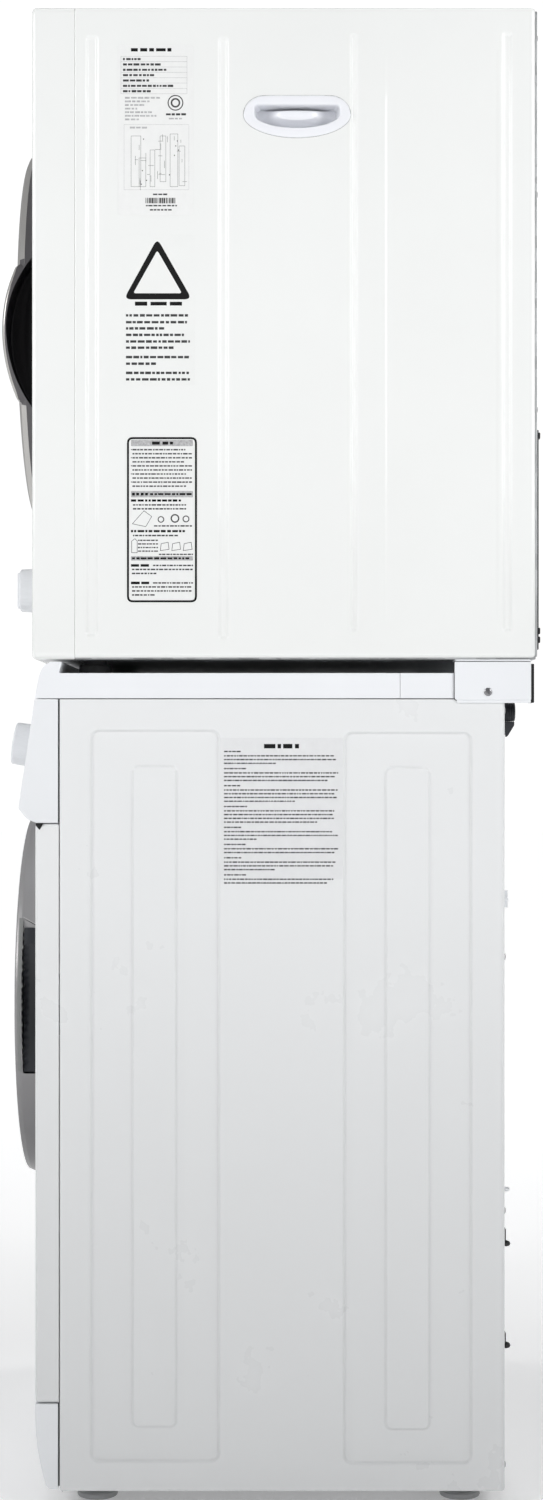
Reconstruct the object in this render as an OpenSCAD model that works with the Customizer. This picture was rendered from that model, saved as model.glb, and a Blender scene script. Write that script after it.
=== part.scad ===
// Stacked front-loading washer and vented dryer.
// X runs to the right seen from the front, the front faces -Y, Z is up.
// The origin is on the floor under the middle of the stack.

/* [Washer] */
// Width of the washer cabinet
washer_w = 596; // [592:1:599]
// Thickness of the sheet-metal walls
sheet = 2; // [1.5:0.1:2.2]
// Depth of the large pressed panels in the washer's sides
press_depth = 3; // [1.5:0.5:4]
// Outer radius of the washer door ring
washer_door_r = 201.6; // [199:0.2:203]
// Outer radius of the washing drum
drum_r = 225; // [222:1:227]
// Diameter of the programme knob
program_knob_d = 46; // [40:1:50]

/* [Dryer] */
// Width of the dryer cabinet
dryer_w = 600; // [600:1:604]
// Height of the dryer cabinet without its feet
dryer_h = 664; // [660:1:680]
// Depth of the narrow pressed ribs in the dryer's sides
rib_depth = 2.5; // [1.5:0.5:3.5]
// Outer radius of the dryer door ring
dryer_door_r = 209; // [207:0.5:211]
// Outer radius of the drying drum
dry_drum_r = 250; // [246:1:251]
// Diameter of the timer knob
timer_knob_d = 49; // [42:1:52]
// Inner radius of the exhaust collar
exhaust_r = 51; // [49:0.5:51]

/* [Controls] */
// Diameter of the two push buttons
button_d = 18; // [14:1:20]
// Running clearance of shafts in their bores
run_gap = 0.05; // [0.02:0.01:0.1]

/* [Hidden] */

HW = washer_w / 2;          // half width of the washer
HD = dryer_w / 2;           // half width of the dryer
WZ = 496;                   // height of the washer door, tub and drum axis
DZ0 = 864;                  // underside of the dryer cabinet
DZ1 = DZ0 + dryer_h;        // top of the dryer cabinet
DZ = 1238;                  // height of the dryer door and drum axis
FA = 81.45;                 // tilt of the sloping fascia's normal
MX = -60; MZ = 165;         // washer motor axis
BX = -110; BZ = 940;        // dryer motor and blower axis
EX = 40; EZ = 965;          // exhaust collar axis
PX = 220; PZ = 62;          // drain pump axis
KX = 170; KZ = 775;         // programme knob
TX = 190; TZ = 941;         // timer knob
WHX = -209; WHY = -240;     // washer door hinge pin
DHX = -217; DHY = -245;     // dryer door hinge pin
TUB_R = 246;                // outer radius of the tub
DPR = 140;                  // drum pulley radius
MPR = 14;                   // motor pulley radius

// axis-aligned box between two corners
module bx(x0, x1, y0, y1, z0, z1) translate([x0, y0, z0]) cube([x1 - x0, y1 - y0, z1 - z0]);
// cylinder along Y
module cy(r, y0, y1, x = 0, z = 0, fn = 64) translate([x, y0, z]) rotate([-90, 0, 0]) cylinder(r = r, h = y1 - y0, $fn = fn);
// tube along Y
module ty(ro, ri, y0, y1, x = 0, z = 0) difference() { cy(ro, y0, y1, x, z); cy(ri, y0 - 1, y1 + 1, x, z); }
// cylinder along X
module cx(r, x0, x1, y = 0, z = 0, fn = 48) translate([x0, y, z]) rotate([0, 90, 0]) cylinder(r = r, h = x1 - x0, $fn = fn);
// cylinder along Z
module cz(r, z0, z1, x = 0, y = 0, fn = 48) translate([x, y, z0]) cylinder(r = r, h = z1 - z0, $fn = fn);
// solid of revolution about a Y axis, from [radius, y] points
module revy(pts, x = 0, z = 0) translate([x, 0, z]) rotate([-90, 0, 0]) rotate_extrude($fn = 120) polygon(pts);
// profile of [y, z] points drawn along X
module alongx(pts, x0, x1) translate([x0, 0, 0]) rotate([90, 0, 90]) linear_extrude(x1 - x0) polygon(pts);
// profile of [x, z] points drawn along Y
module alongy(pts, y0, y1) translate([0, y1, 0]) rotate([90, 0, 0]) linear_extrude(y1 - y0) polygon(pts);
// both sides
module both() { children(); mirror([1, 0, 0]) children(); }
// points of a rectangle with rounded corners
function rr(a0, a1, b0, b1, r, n = 4) = concat(
  [for (i = [0:n]) [a1 - r + r * sin(i * 90 / n), b1 - r + r * cos(i * 90 / n)]],
  [for (i = [0:n]) [a1 - r + r * cos(i * 90 / n), b0 + r - r * sin(i * 90 / n)]],
  [for (i = [0:n]) [a0 + r - r * sin(i * 90 / n), b0 + r - r * cos(i * 90 / n)]],
  [for (i = [0:n]) [a0 + r - r * cos(i * 90 / n), b1 - r + r * sin(i * 90 / n)]]);
// points of the grip outline: flat top, round ends, bowed underside
function dpts(yc, zt, w, h, n = 8) = concat(
  [for (i = [0:n]) [yc - w / 2 + 0.2 * w - 0.2 * w * cos(i * 90 / n), zt - 0.45 * h + 0.45 * h * sin(i * 90 / n)]],
  [for (i = [0:n]) [yc + w / 2 - 0.2 * w + 0.2 * w * sin(i * 90 / n), zt - 0.45 * h + 0.45 * h * cos(i * 90 / n)]],
  [for (i = [1:2 * n - 1]) [yc + w / 2 * cos(i * 90 / n), zt - 0.45 * h - 0.55 * h * sin(i * 90 / n)]]);
// place a child on the sloping fascia, local +Z outwards
module on_fascia(x, z) translate([x, -236.4 - (823.5 - z) * 0.15027, z]) rotate([FA, 0, 0]) children();
// pan-head screw whose head stands off a face along local +Z
module panhead(r = 4, h = 2.2) difference() {
  union() { cylinder(r = r, h = h * 0.55, $fn = 32); cylinder(r = r * 0.8, h = h, $fn = 32); }
  translate([-r * 0.6, -0.5, h - 1]) cube([r * 1.2, 1, 2]);
  translate([-0.5, -r * 0.6, h - 1]) cube([1, r * 1.2, 2]);
}

/* ---- washer, fixed ---- */

// recess with a raised bead, pressed in a side wall whose outer face is x = h
module press_out(h, y0, y1, z0, z1) alongx(rr(y0, y1, z0, z1, 10), h - press_depth, h + 1);
module press_floor(h, y0, y1, z0, z1, b0, b1, c0, c1) {
  difference() {
    alongx(rr(y0 - 2, y1 + 2, z0 - 2, z1 + 2, 12), h - press_depth - sheet, h - 0.5);
    alongx(rr(y0, y1, z0, z1, 10), h - press_depth, h + 1);
    alongx(rr(b0 + 2, b1 - 2, c0 + 2, c1 - 2, 7), h - press_depth - sheet - 1, h);
  }
  difference() {
    alongx(rr(b0, b1, c0, c1, 9), h - press_depth - sheet, h - 0.5);
    alongx(rr(b0 + 2, b1 - 2, c0 + 2, c1 - 2, 7), h - press_depth - sheet - 1, h - 0.5 - sheet);
  }
}
module washer_side() {
  difference() {
    bx(HW - sheet, HW, -212, 243, 16, 823.5);
    press_out(HW, -179, -48.6, 47, 791.3);
    press_out(HW, 79, 208.5, 45, 789);
  }
  press_floor(HW, -179, -48.6, 47, 791.3, -136.4, -92.3, 82, 754.9);
  press_floor(HW, 79, 208.5, 45, 789, 121.7, 165.7, 79.4, 753.3);
  // front return flange
  bx(HW - 16, HW - sheet, -212, -210, 16, 823.5);
}
module washer_cabinet() color("whitesmoke") {
  both() washer_side();
  difference() {
    bx(-HW + sheet, HW - sheet, 241, 243, 16, 823.5);
    bx(-205, 205, 240, 244, 95, 590);
    bx(-205, 205, 240, 244, 615, 790);
    for (x = [215, 255]) cy(12, 240, 244, x, 811);
    for (x = [-234, 234]) cy(9, 240, 244, x, 616);
    for (x = [-232, 232]) cy(9, 240, 244, x, 267);
    cy(11, 240, 244, -262, 640);
  }
  // cross rails that carry the worktop and the springs
  bx(-HW + sheet, HW - sheet, -209.5, -195, 806, 823.5);
  difference() { bx(-HW + sheet, HW - sheet, 226, 241, 806, 823.5); bx(196, 274, 225, 241.5, 800, 823); }
  both() bx(212, 238, -195, 226, 810, 816);
}
module washer_rear_cover() color("gainsboro") {
  difference() {
    alongy(rr(-215, 215, 80, 600, 12), 243, 246.5);
    alongy(rr(-208, 208, 88, 592, 8), 242, 245);
  }
  difference() {
    alongy(rr(-215, 215, 605, 802, 12), 243, 249.5);
    alongy(rr(-208, 208, 612, 795, 8), 242, 247.5);
    for (i = [-4:4]) bx(i * 22 - 3, i * 22 + 3, 246, 251, 640, 760);
  }
}
module washer_base() color("silver") difference() {
  union() {
    bx(-HW + sheet, HW - sheet, -209, 240.5, 18, 20);
    difference() {
      bx(-HW + sheet, HW - sheet, -209, 240.5, 18, 34);
      bx(-HW + sheet + 2, HW - sheet - 2, -207, 238.5, 17, 35);
    }
    for (y = [-175, 200]) both() bx(230, 280, y - 20, y + 20, 20, 32);
    // drip sill that joins the rails across the pan
    bx(-HW + sheet + 2, HW - sheet - 2, -12, 12, 20, 24);
  }
  for (x = [-255, 255], y = [-175, 200]) cz(5.2, 10, 60, x, y);
}
module washer_worktop() color("aliceblue") difference() {
  union() {
    alongx([[-236.4, 823.5], [-231.6, 846], [-229.6, 849.2], [-227.2, 850.4], [-226.6, 852], [-226.4, 858.6],
      [-225.2, 861], [-223, 861.8], [-210, 861.8], [-207.8, 861], [-206.6, 858.6], [-204, 851], [-202, 850],
      [243, 850], [245.6, 848.8], [246.5, 846], [246.5, 823.5]], -HW, HW);
  }
  bx(-HW + 12, HW - 12, -218, 232, 822, 836);
  both() translate([HW, 136, 836]) rotate([0, 0, 45]) cube([1.6, 1.6, 40], center = true);
  both() cx(2.1, HW - 14, HW + 1, 225.4, 830.7);
}
module washer_front_panel() color("whitesmoke") difference() {
  union() {
    difference() {
      alongx([[-234, 107.5], [-232, 105.8], [-212, 105.8], [-212, 696.6], [-232.4, 696.6], [-234, 695]], -HW, HW);
      bx(-HW + sheet, HW - sheet, -232, -211, 105.8 + 2, 694.6);
    }
    ty(168.5, 166.5, -233, -222, 0, WZ);
  }
  cy(166.5, -240, -200, 0, WZ, 120);
  bx(170.5, 181, -236, -230, 490, 512);
}
K_OUT = [[-236, 104.6], [-235.6, 90], [-235, 74.3], [-233.4, 60], [-231, 47], [-228.2, 34], [-225, 22.4], [-221.5, 18.5], [-215, 18.3], [-212, 18.3], [-212, 104.6]];
K_IN = [[-233.4, 102], [-233, 90], [-232.4, 74.5], [-230.8, 60.4], [-228.4, 47.6], [-225.6, 34.8], [-222.8, 24], [-220.6, 21.3], [-211, 21], [-211, 102]];
module kick_shell(x0, x1) difference() { alongx(K_OUT, x0, x1); alongx(K_IN, x0 - 1, x1 + 1); }
module kick_panel() color("whitesmoke") {
  difference() {
    alongx(K_OUT, -HW, HW);
    alongx(K_IN, -HW + 2.5, HW - 2.5);
    bx(174.5, 265.5, -240, -214, 30.5, 92.5);
  }
  // lugs that take the flap's pins
  for (x = [170.6, 265.8]) difference() { cx(2.3, x, x + 3.6, -229.4, 33.4); cx(1 + run_gap, x - 1, x + 5, -229.4, 33.4); }
}
F_OUT = [[-236.4, 823.5], [-252.9, 713.7], [-252.3, 711], [-245.6, 702.6], [-243, 700.6], [-234.3, 697.2], [-212, 697.2], [-212, 823.5]];
F_IN = [[-233.6, 821], [-250, 714], [-243.8, 705], [-234, 699.8], [-211, 699.8], [-211, 821]];
module washer_fascia() color("whitesmoke") difference() {
  alongx(F_OUT, -HW, HW);
  alongx(F_IN, -HW + 2.5, HW - 2.5);
  bx(-284, -106, -260, -213, 724, 808);
  on_fascia(KX, KZ) translate([0, 0, -8]) cylinder(r = 6 + run_gap, h = 12, $fn = 48);
  for (x = [20, 80]) on_fascia(x, 748) translate([0, 0, -8]) cylinder(r = button_d / 2 + 0.4, h = 12, $fn = 48);
  // shallow seat of the display window
  on_fascia(50, 785) translate([-48, -11, -0.8]) cube([96, 22, 3]);
}
module control_board() color("darkgreen") {
  on_fascia(95, 770) {
    translate([-125, -40, -17]) cube([250, 80, 1.6]);
    for (x = [-90, 20]) translate([x, -36, -25.6]) cube([34, 60, 8.6]);
  }
  on_fascia(KX, KZ) difference() {
    translate([-13, -13, -15.4]) cube([26, 26, 5]);
    translate([0, 0, -14]) cylinder(r = 6 + run_gap, h = 12, $fn = 48);
  }
  for (x = [20, 80]) on_fascia(x, 748) translate([-5, -5, -15.4]) cube([10, 10, 3.4]);
}
module detergent_housing() color("lightgray") difference() {
  bx(-288, -102, -209.5, -58, 732, 800);
  bx(-286, -104, -213, -60, 734, 798);
}
module inlet_valve() color("white") {
  for (x = [215, 255]) difference() {
    union() { cy(10, 236, 257, x, 811); cy(11.5, 243, 246, x, 811); }
    cy(6, 230, 258, x, 811);
  }
  difference() {
    bx(200, 270, 205, 236, 796, 826 - 4);
    for (x = [215, 255]) cy(6, 215, 237, x, 811);
    bx(211, 239, 204, 227, 809, 823);
  }
}
module feet() color("lightgray") {
  for (x = [-255, 255], y = [-175, 200]) {
    cz(21, 0, 8, x, y);
    cz(13, 8, 12, x, y, 6);
    cz(5, 12, 36, x, y);
    difference() { cz(9, 14, 18, x, y, 6); cz(5, 13, 19, x, y); }
  }
  for (x = [-250, 250], y = [-178, 218]) { cz(17, 850, 860, x, y); cz(12, 860, 864, x, y); }
}
module door_gasket() color("gray")
  revy([[155, -232], [166, -232], [166, -221], [169, -219], [169, -206], [163, -203.5], [163, -188], [158.4, -188],
    [158.4, -206], [165.6, -209], [165.6, -216], [162, -218.5], [162, -228], [155, -228]], 0, WZ);
// one coil spring hanging between two heights
function helix(r, z0, z1, n, s) = [for (i = [0:n * s]) [r * cos(i * 360 / s), r * sin(i * 360 / s), z0 + (z1 - z0) * i / (n * s)]];
module coil(r, w, z0, z1, n, s = 8, k = 5) {
  p = helix(r, z0, z1, n, s);
  m = len(p);
  pts = [for (i = [0:m - 1]) let (a = i * 360 / s) for (j = [0:k - 1]) let (b = j * 360 / k)
    [p[i][0] + w * cos(b) * cos(a), p[i][1] + w * cos(b) * sin(a), p[i][2] + w * sin(b)]];
  fc = concat([[for (j = [0:k - 1]) k - 1 - j]], [[for (j = [0:k - 1]) (m - 1) * k + j]],
    [for (i = [0:m - 2], j = [0:k - 1]) [i * k + j, i * k + (j + 1) % k, (i + 1) * k + (j + 1) % k]],
    [for (i = [0:m - 2], j = [0:k - 1]) [i * k + j, (i + 1) * k + (j + 1) % k, (i + 1) * k + j]]);
  polyhedron(points = pts, faces = fc, convexity = 6);
}
module suspension_springs() color("dimgray") for (x = [-225, 225], y = [-20, 60]) translate([x, y, 0]) coil(9, 1.8, 666, 808, 8);
module damper_cylinders() color("dimgray") for (x = [-150, 150]) difference() {
  union() { cz(13, 34, 150, x, 30); bx(x - 14, x + 14, 14, 46, 20, 34); }
  cz(5 + run_gap, 40, 151, x, 30);
}
module drain_pump() color("gainsboro") difference() {
  union() {
    cy(26, -198, -118, PX, PZ);
    cy(37, -118, -84, PX, PZ);
    cy(27, -84, -20, PX, PZ);
    cx(12, PX - 70, PX - 20, -100, PZ + 18);
    bx(PX - 20, PX + 20, -80, -30, 20, PZ);
  }
  cy(22, -199, -130, PX, PZ);
  cy(33, -114, -88, PX, PZ);
  cx(9, PX - 71, PX - 30, -100, PZ + 18);
}
module rear_plugs() color("dimgray") {
  for (x = [-234, 234]) { cy(9, 237, 243, x, 616); cy(14, 243, 247.5, x, 616); }
  for (x = [-232, 232]) { cy(9, 237, 243, x, 267); cy(13, 243, 247, x, 267); }
  // drain spout, cable gland and two hose clips
  difference() { union() { cy(11, 236, 256, -262, 640); cy(14, 243, 246, -262, 640); } cy(8, 230, 258, -262, 640); }
  for (z = [157, 318]) difference() { bx(255, 272, 243, 250, z - 6, z + 6); cy(4.5, 245, 251, 263, z, 32); }
}
// hinge: a leaf on the panel, two ears and a pin
module hinge(px, py, z, face) {
  bx(px - 13, px - 7, face - 2, face, z - 50, z + 50);
  for (a = [-50, 40]) bx(px - 13, px + 6, face - 2, face, z + a, z + a + 10);
  for (a = [-50, 40]) bx(px - 6, px + 6, py - 6, face, z + a, z + a + 10);
  cz(4, z - 50, z + 50, px, py);
}
module door_hinges() color("silver") { hinge(WHX, WHY, WZ, -234); hinge(DHX, DHY, DZ, -239); }
module door_lock() color("dimgray") difference() {
  bx(170.6, 200, -231.9, -205, 470, 532);
  bx(171.6, 181, -233, -213, 489, 513);
}
module screws() color("darkgray") {
  both() translate([HW + 2, 225.4, 830.7]) rotate([0, 90, 0]) panhead(4.2, 2);
  both() cx(2, HW - 12, HW + 2, 225.4, 830.7, 24);
  for (x = [-200, 0, 200], z = [84, 596]) translate([x, 246.5, z]) rotate([-90, 0, 0]) panhead(3.2, 1.8);
  for (x = [-200, 0, 200], z = [608.5, 798.5]) translate([x, 249.5, z]) rotate([-90, 0, 0]) panhead(3, 1.8);
  for (x = [-284, 284], z = [40, 300, 560]) translate([x, 243, z]) rotate([-90, 0, 0]) panhead(3.6, 2.2);
  translate([284, 243, 818]) rotate([-90, 0, 0]) panhead(3.6, 2.2);
  for (x = [-285, 285], z = [900, 1120, 1340, 1500]) translate([x, 276, z]) rotate([-90, 0, 0]) panhead(3.6, 1.8);
  for (x = [-232, 232], z = [893, 1091]) translate([x, 278, z]) rotate([-90, 0, 0]) panhead(3.2, 1.6);
}
module labels() color("ivory") {
  alongx(rr(-151, -75, 1316, 1489, 3), HD, HD + 0.25);
  alongx(rr(-147, -73, 1143, 1296, 3), HD, HD + 0.25);
  alongx(rr(-143, -71, 921, 1090, 6), HD, HD + 0.25);
  alongx(rr(-47.2, 77.6, 640, 784, 1), HW, HW + 0.25);
}
module stacking_brackets() color("white") both() difference() {
  union() {
    alongx([[191.4, 862], [191.4, 832], [193, 825.6], [197.6, 821], [204, 819.5], [269.7, 819.5], [269.7, 862]], HW, HW + 2);
    bx(262, HW + 2, 191.4, 269.7, 862, 864);
    bx(HW - 30, HW + 2, 269.7, 271.5, 819.5, 864);
  }
  cx(2.1, HW - 1, HW + 3, 225.4, 830.7);
  for (x = [275], y = [205, 256]) cz(2.5, 850, 870, x, y, 32);
}

/* ---- dryer, fixed ---- */

module rib_cut(y0, y1, z0, z1, r) alongx(rr(y0, y1, z0, z1, r), HD - rib_depth, HD + 1);
module rib_floor(y0, y1, z0, z1, r) difference() {
  alongx(rr(y0 - 1.5, y1 + 1.5, z0 - 1.5, z1 + 1.5, r + 1), HD - rib_depth - 1.5, HD - 0.5);
  alongx(rr(y0, y1, z0, z1, r), HD - rib_depth, HD + 1);
}
RIBS = [[-182, -171, 888, 1497], [-46.5, -37.5, 885, 1494.5], [88, 98.5, 893, 1497.5], [241.2, 249.5, 893, 1501]];
module dryer_side() {
  difference() {
    bx(HD - sheet, HD, -195, 274, DZ0, DZ1 - sheet);
    for (r = RIBS) rib_cut(r[0], r[1], r[2], r[3], 4);
    alongx(rr(121.6, 235.6, 893, 1491, 9), HD - 1.2, HD + 1);
    alongx(dpts(31, 1432, 98, 32), HD - sheet - 1, HD + 1);
  }
  for (r = RIBS) rib_floor(r[0], r[1], r[2], r[3], 4);
}
module dryer_cabinet() color("whitesmoke") {
  both() dryer_side();
  bx(-HD, HD, -195, 274, DZ1 - sheet, DZ1);
}
module dryer_front_panel() color("whitesmoke") difference() {
  union() {
    difference() {
      alongx([[-239, DZ0 + 2], [-237, DZ0], [-195, DZ0], [-195, DZ1], [-236, DZ1], [-239, DZ1 - 3]], -HD, HD);
      bx(-HD + sheet, HD - sheet, -237, -194, DZ0 + 2, DZ1 - 2);
    }
    // seat of the timer
    bx(TX - 26, TX + 26, -237, -235, TZ - 26, TZ + 26);
  }
  cy(163, -245, -220, 0, DZ, 120);
  cy(3 + run_gap, -245, -230, TX, TZ);
}
module dryer_rear_panel() color("gainsboro") difference() {
  union() {
    bx(-HD + sheet, HD - sheet, 274, 276, DZ0, DZ1 - sheet);
    // stub-shaft bearing boss
    cy(30, 226, 274, 0, DZ);
    for (a = [0:60:300]) translate([0, 0, DZ]) rotate([0, a, 0]) bx(25, 60, 262, 274, -2, 2);
  }
  cy(10 + run_gap, 220, 262, 0, DZ);
  cy(exhaust_r + 3.2, 270, 280, EX, EZ);
  // air-intake slots
  for (i = [0:7]) bx(80, 180, 270, 280, 1280 + i * 14, 1285 + i * 14);
}
module dryer_rear_cover() color("dimgray") {
  difference() {
    alongy(rr(-240, 240, 872, 1097, 8), 276, 278);
    cy(exhaust_r, 270, 280, EX, EZ);
    for (i = [0:5]) bx(120, 210, 275, 280, 905 + i * 14, 910 + i * 14);
  }
  ty(exhaust_r + 3, exhaust_r, 246, 278, EX, EZ);
}
module dryer_base() color("silver") difference() {
  union() {
    difference() { bx(-HD + sheet, HD - sheet, -195, 274, DZ0, 880); bx(-HD + sheet + 2, HD - sheet - 2, -193, 272, DZ0 + 2, 881); }
    bx(BX - 50, BX + 50, -30, 100, DZ0 + 2, 870);
  }
  for (x = [-275, 275], y = [205, 256]) cz(2.5, 850, 870, x, y, 32);
}
module side_grips() color("ghostwhite") both() {
  difference() {
    union() {
      alongx(dpts(31, 1437, 108.6, 42), HD, HD + 1.5);
      alongx(dpts(31, 1431, 94, 29), HD - 30, HD + 0.5);
    }
    alongx(dpts(31, 1427.6, 87, 22.6), HD - 27, HD + 2);
  }
}
module front_bulkhead() color("silver") difference() {
  union() {
    ty(262, 166, -196, -194, 0, DZ);
    ty(168, 166, -237, -188, 0, DZ);
    ty(199.4, 190, -194, -180, 0, DZ);
    // filter pocket under the mouth
    difference() { bx(-78, 78, -229, -196, 1030, 1080); cy(167, -240, -180, 0, DZ, 120); }
    both() bx(180, 290, -196, -194, DZ - 150, DZ + 150);
  }
  bx(-74, 74, -226, -198, 1034, 1090);
}
module dryer_heater() color("silver") difference() {
  cy(72, 210, 272, 130, 1330);
  cy(70, 212, 270, 130, 1330);
  cy(40, 205, 214, 130, 1330);
}
module dryer_motor() color("dimgray") {
  difference() {
    union() { cy(46, -16, 92, BX, BZ); bx(BX - 40, BX + 40, -10, 86, 870, BZ); }
    cy(36, -8, 84, BX, BZ);
    cy(6 + run_gap, -20, 100, BX, BZ);
  }
  // arm that holds the idler
  difference() {
    union() { bx(BX + 30, IDL[0], -12, -8, 905, 911); bx(IDL[0] - 6, IDL[0] + 6, -12, -8, 905, IDL[1] + 6); cy(3.5, -42, -10, IDL[0], IDL[1]); }
  }
}
module blower_housing() color("silver") difference() {
  union() { cy(68, 210, 262, BX, BZ); bx(BX, EX + 58, 210, 262, EZ - 58, EZ + 58); }
  cy(66, 212, 260, BX, BZ);
  bx(BX, EX + 56, 212, 260, EZ - 56, EZ + 56);
  cy(42, 205, 215, BX, BZ);
  cy(exhaust_r + 3.2, 255, 265, EX, EZ);
}
// belt tangent between the motor pulley and the drum, and the idler against it
DL = sqrt(pow(BX, 2) + pow(DZ - BZ, 2));
TN = atan2(DZ - BZ, -BX) - acos((12 - dry_drum_r) / DL);
TP = [BX + 12 * cos(TN), BZ + 12 * sin(TN)];
TQ = [dry_drum_r * cos(TN), DZ + dry_drum_r * sin(TN)];
IDL = [TP[0] * 0.52 + TQ[0] * 0.48 + 19.4 * cos(TN), TP[1] * 0.52 + TQ[1] * 0.48 + 19.4 * sin(TN)];
module loop(c1, r1, c2, r2) hull() { translate(c1) circle(r = r1, $fn = 60); translate(c2) circle(r = r2, $fn = 160); }
module dryer_belt() color("black") translate([0, -26, 0]) rotate([90, 0, 0]) linear_extrude(10) difference() {
  loop([BX, BZ], 14.8, [0, DZ], dry_drum_r + 2.8);
  loop([BX, BZ], 12.4, [0, DZ], dry_drum_r + 0.5);
}
module dryer_timer() color("beige") difference() {
  bx(TX - 22, TX + 22, -235, -205, TZ - 22, TZ + 22);
  cy(3 + run_gap, -236, -220, TX, TZ);
}

/* ---- tub group, hung on the springs ---- */

module tub_front() color("gainsboro")
  revy([[152, -200], [158, -200], [158, -180], [TUB_R, -180], [TUB_R, -46], [254, -46], [254, -40], [241, -40], [241, -174], [152, -174]], 0, WZ);
module tub_rear() color("gainsboro") {
  difference() {
    union() {
      revy([[26.02, 112], [241, 112], [241, -40], [254, -40], [254, -34], [TUB_R, -34], [TUB_R, 118], [36, 118], [36, 168], [26.02, 168]], 0, WZ);
      for (a = [0:45:315]) translate([0, 0, WZ]) rotate([0, a, 0]) bx(34, 235, 117, 132, -3, 3);
      // spring lugs and damper lugs
      both() bx(210, 240, -32, 72, 560, 664);
      for (x = [-150, 150]) bx(x - 12, x + 12, 18, 42, 287, 316);
    }
    cy(244, -60, 115, 0, WZ, 120);
    both() bx(218, 232, -8, 48, 600, 700);
  }
}
module counterweights() color("darkgray") {
  difference() {
    bx(-70, 150, -130, 70, 700, 784);
    cy(TUB_R + 0.2, -140, 90, 0, WZ, 120);
    cy(254.4, -47, -33, 0, WZ, 120);
  }
  difference() { ty(240, 176, -204, -180.2, 0, WZ); bx(-260, 260, -210, -170, WZ - 60, 760); }
}
module drum_bearings() color("silver") for (y = [116, 150]) ty(26, 12.5 + run_gap, y, y + 15, 0, WZ);
module washer_motor() color("dimgray") difference() {
  union() {
    cy(60, 20, 120, MX, MZ);
    bx(MX - 18, MX + 18, 28, 108, MZ, 262);
  }
  cy(TUB_R + 0.3, 0, 130, 0, WZ, 120);
  cy(44, 28, 112, MX, MZ);
  cy(8.5 + run_gap, 10, 130, MX, MZ);
}
module washer_belt() color("black") translate([0, 189, 0]) rotate([90, 0, 0]) linear_extrude(11) difference() {
  loop([MX, MZ], MPR + 3, [0, WZ], DPR + 3);
  loop([MX, MZ], MPR + 0.4, [0, WZ], DPR + 0.4);
}
module damper_rods() color("silver") for (x = [-150, 150]) { cz(5, 70, 278, x, 30); cz(9, 278, 287, x, 30); }

/* ---- washer, moving ---- */

module washer_door_frame() color("darkgray") difference() {
  union() {
    revy([[146, -252], [152, -258], [185, -267.6], [196, -268.6], [washer_door_r - 1.6, -266.6], [washer_door_r, -262], [washer_door_r, -237],
      [washer_door_r - 2.6, -237], [washer_door_r - 2.6, -261], [195, -265.4], [185, -264.6], [154, -255.4], [150, -250], [146, -250]], 0, WZ);
    // liner of the finger grip
    intersection() { bx(179, 203, -257, -237, 425, 585); cy(washer_door_r - 1, -260, -236, 0, WZ, 120); }
  }
  bx(181, 210, -255, -230, 427, 583);
  bx(-210, -160, -244, -235, 455, 537);
}
module washer_door_glass() color("lightgray", 0.5)
  revy([[0, -158], [60, -160], [100, -170], [122, -190], [135, -215], [141, -242], [150, -242], [150, -247], [137, -247],
    [130, -216], [117, -193], [96, -175], [58, -165], [0, -163]], 0, WZ);
module washer_door_inner() color("white") {
  difference() {
    union() { ty(198.6, 144, -241.9, -237, 0, WZ); ty(154, 151, -249.5, -240, 0, WZ); }
    bx(178.5, 210, -260, -230, 424, 586);
    bx(-210, -160, -244, -235, 455, 537);
  }
  // latch hook
  bx(173, 178, -242, -228, 496, 506);
  bx(173, 179, -230, -224, 496, 506);
  bx(168, 178.4, -241.9, -237, 480, 522);
  // hinge leaf and knuckle
  difference() {
    union() { cz(5.6, WZ - 39, WZ + 39, WHX, WHY); bx(WHX, -158, -243.4, -237.6, WZ - 36, WZ + 36); bx(-176, -158, -243.4, -237.2, WZ - 39, WZ + 44); }
    cz(4 + run_gap, WZ - 45, WZ + 45, WHX, WHY);
  }
}
module washer_drum() color("lightgray") difference() {
  revy([[158, -163], [drum_r, -163], [drum_r, 92], [20, 92], [20, 90], [drum_r - 2, 90], [drum_r - 2, -161], [160, -161], [160, -158], [158, -158]], 0, WZ);
  for (a = [15:30:345], y = [-120:40:60]) translate([0, y, WZ]) rotate([0, a, 0]) cx(2.5, drum_r - 8, drum_r + 4, 0, 0, 16);
}
module drum_lifters() color("white") for (a = [90, 210, 330]) translate([0, 0, WZ]) rotate([0, -a, 0])
  intersection() {
    translate([0, 75, 0]) rotate([90, 0, 0]) linear_extrude(210) polygon([[drum_r + 5, -26], [drum_r - 28, -11], [drum_r - 38, -6], [drum_r - 40, 0], [drum_r - 38, 6], [drum_r - 28, 11], [drum_r + 5, 26]]);
    cy(drum_r - 2.1, -140, 80, 0, 0, 120);
  }
module drum_spider() color("silver") {
  for (a = [90, 210, 330]) translate([0, 0, WZ]) rotate([0, -a, 0]) bx(20, drum_r - 6, 92, 103, -10, 10);
  cy(30, 92, 109, 0, WZ);
  cy(12.5, 100, 200, 0, WZ);
  // belt pulley
  ty(DPR, DPR - 8, 177, 190, 0, WZ);
  ty(34, 12, 174, 192, 0, WZ);
  for (a = [0:60:300]) translate([0, 0, WZ]) rotate([0, a, 0]) bx(30, DPR - 4, 180, 186, -8, 8);
  cy(19, 192, 200, 0, WZ, 6);
}
module motor_rotor() color("goldenrod") {
  cy(8.5, 6, 192, MX, MZ);
  cy(42, 34, 106, MX, MZ);
  cy(MPR, 176, 191, MX, MZ);
}
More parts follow.
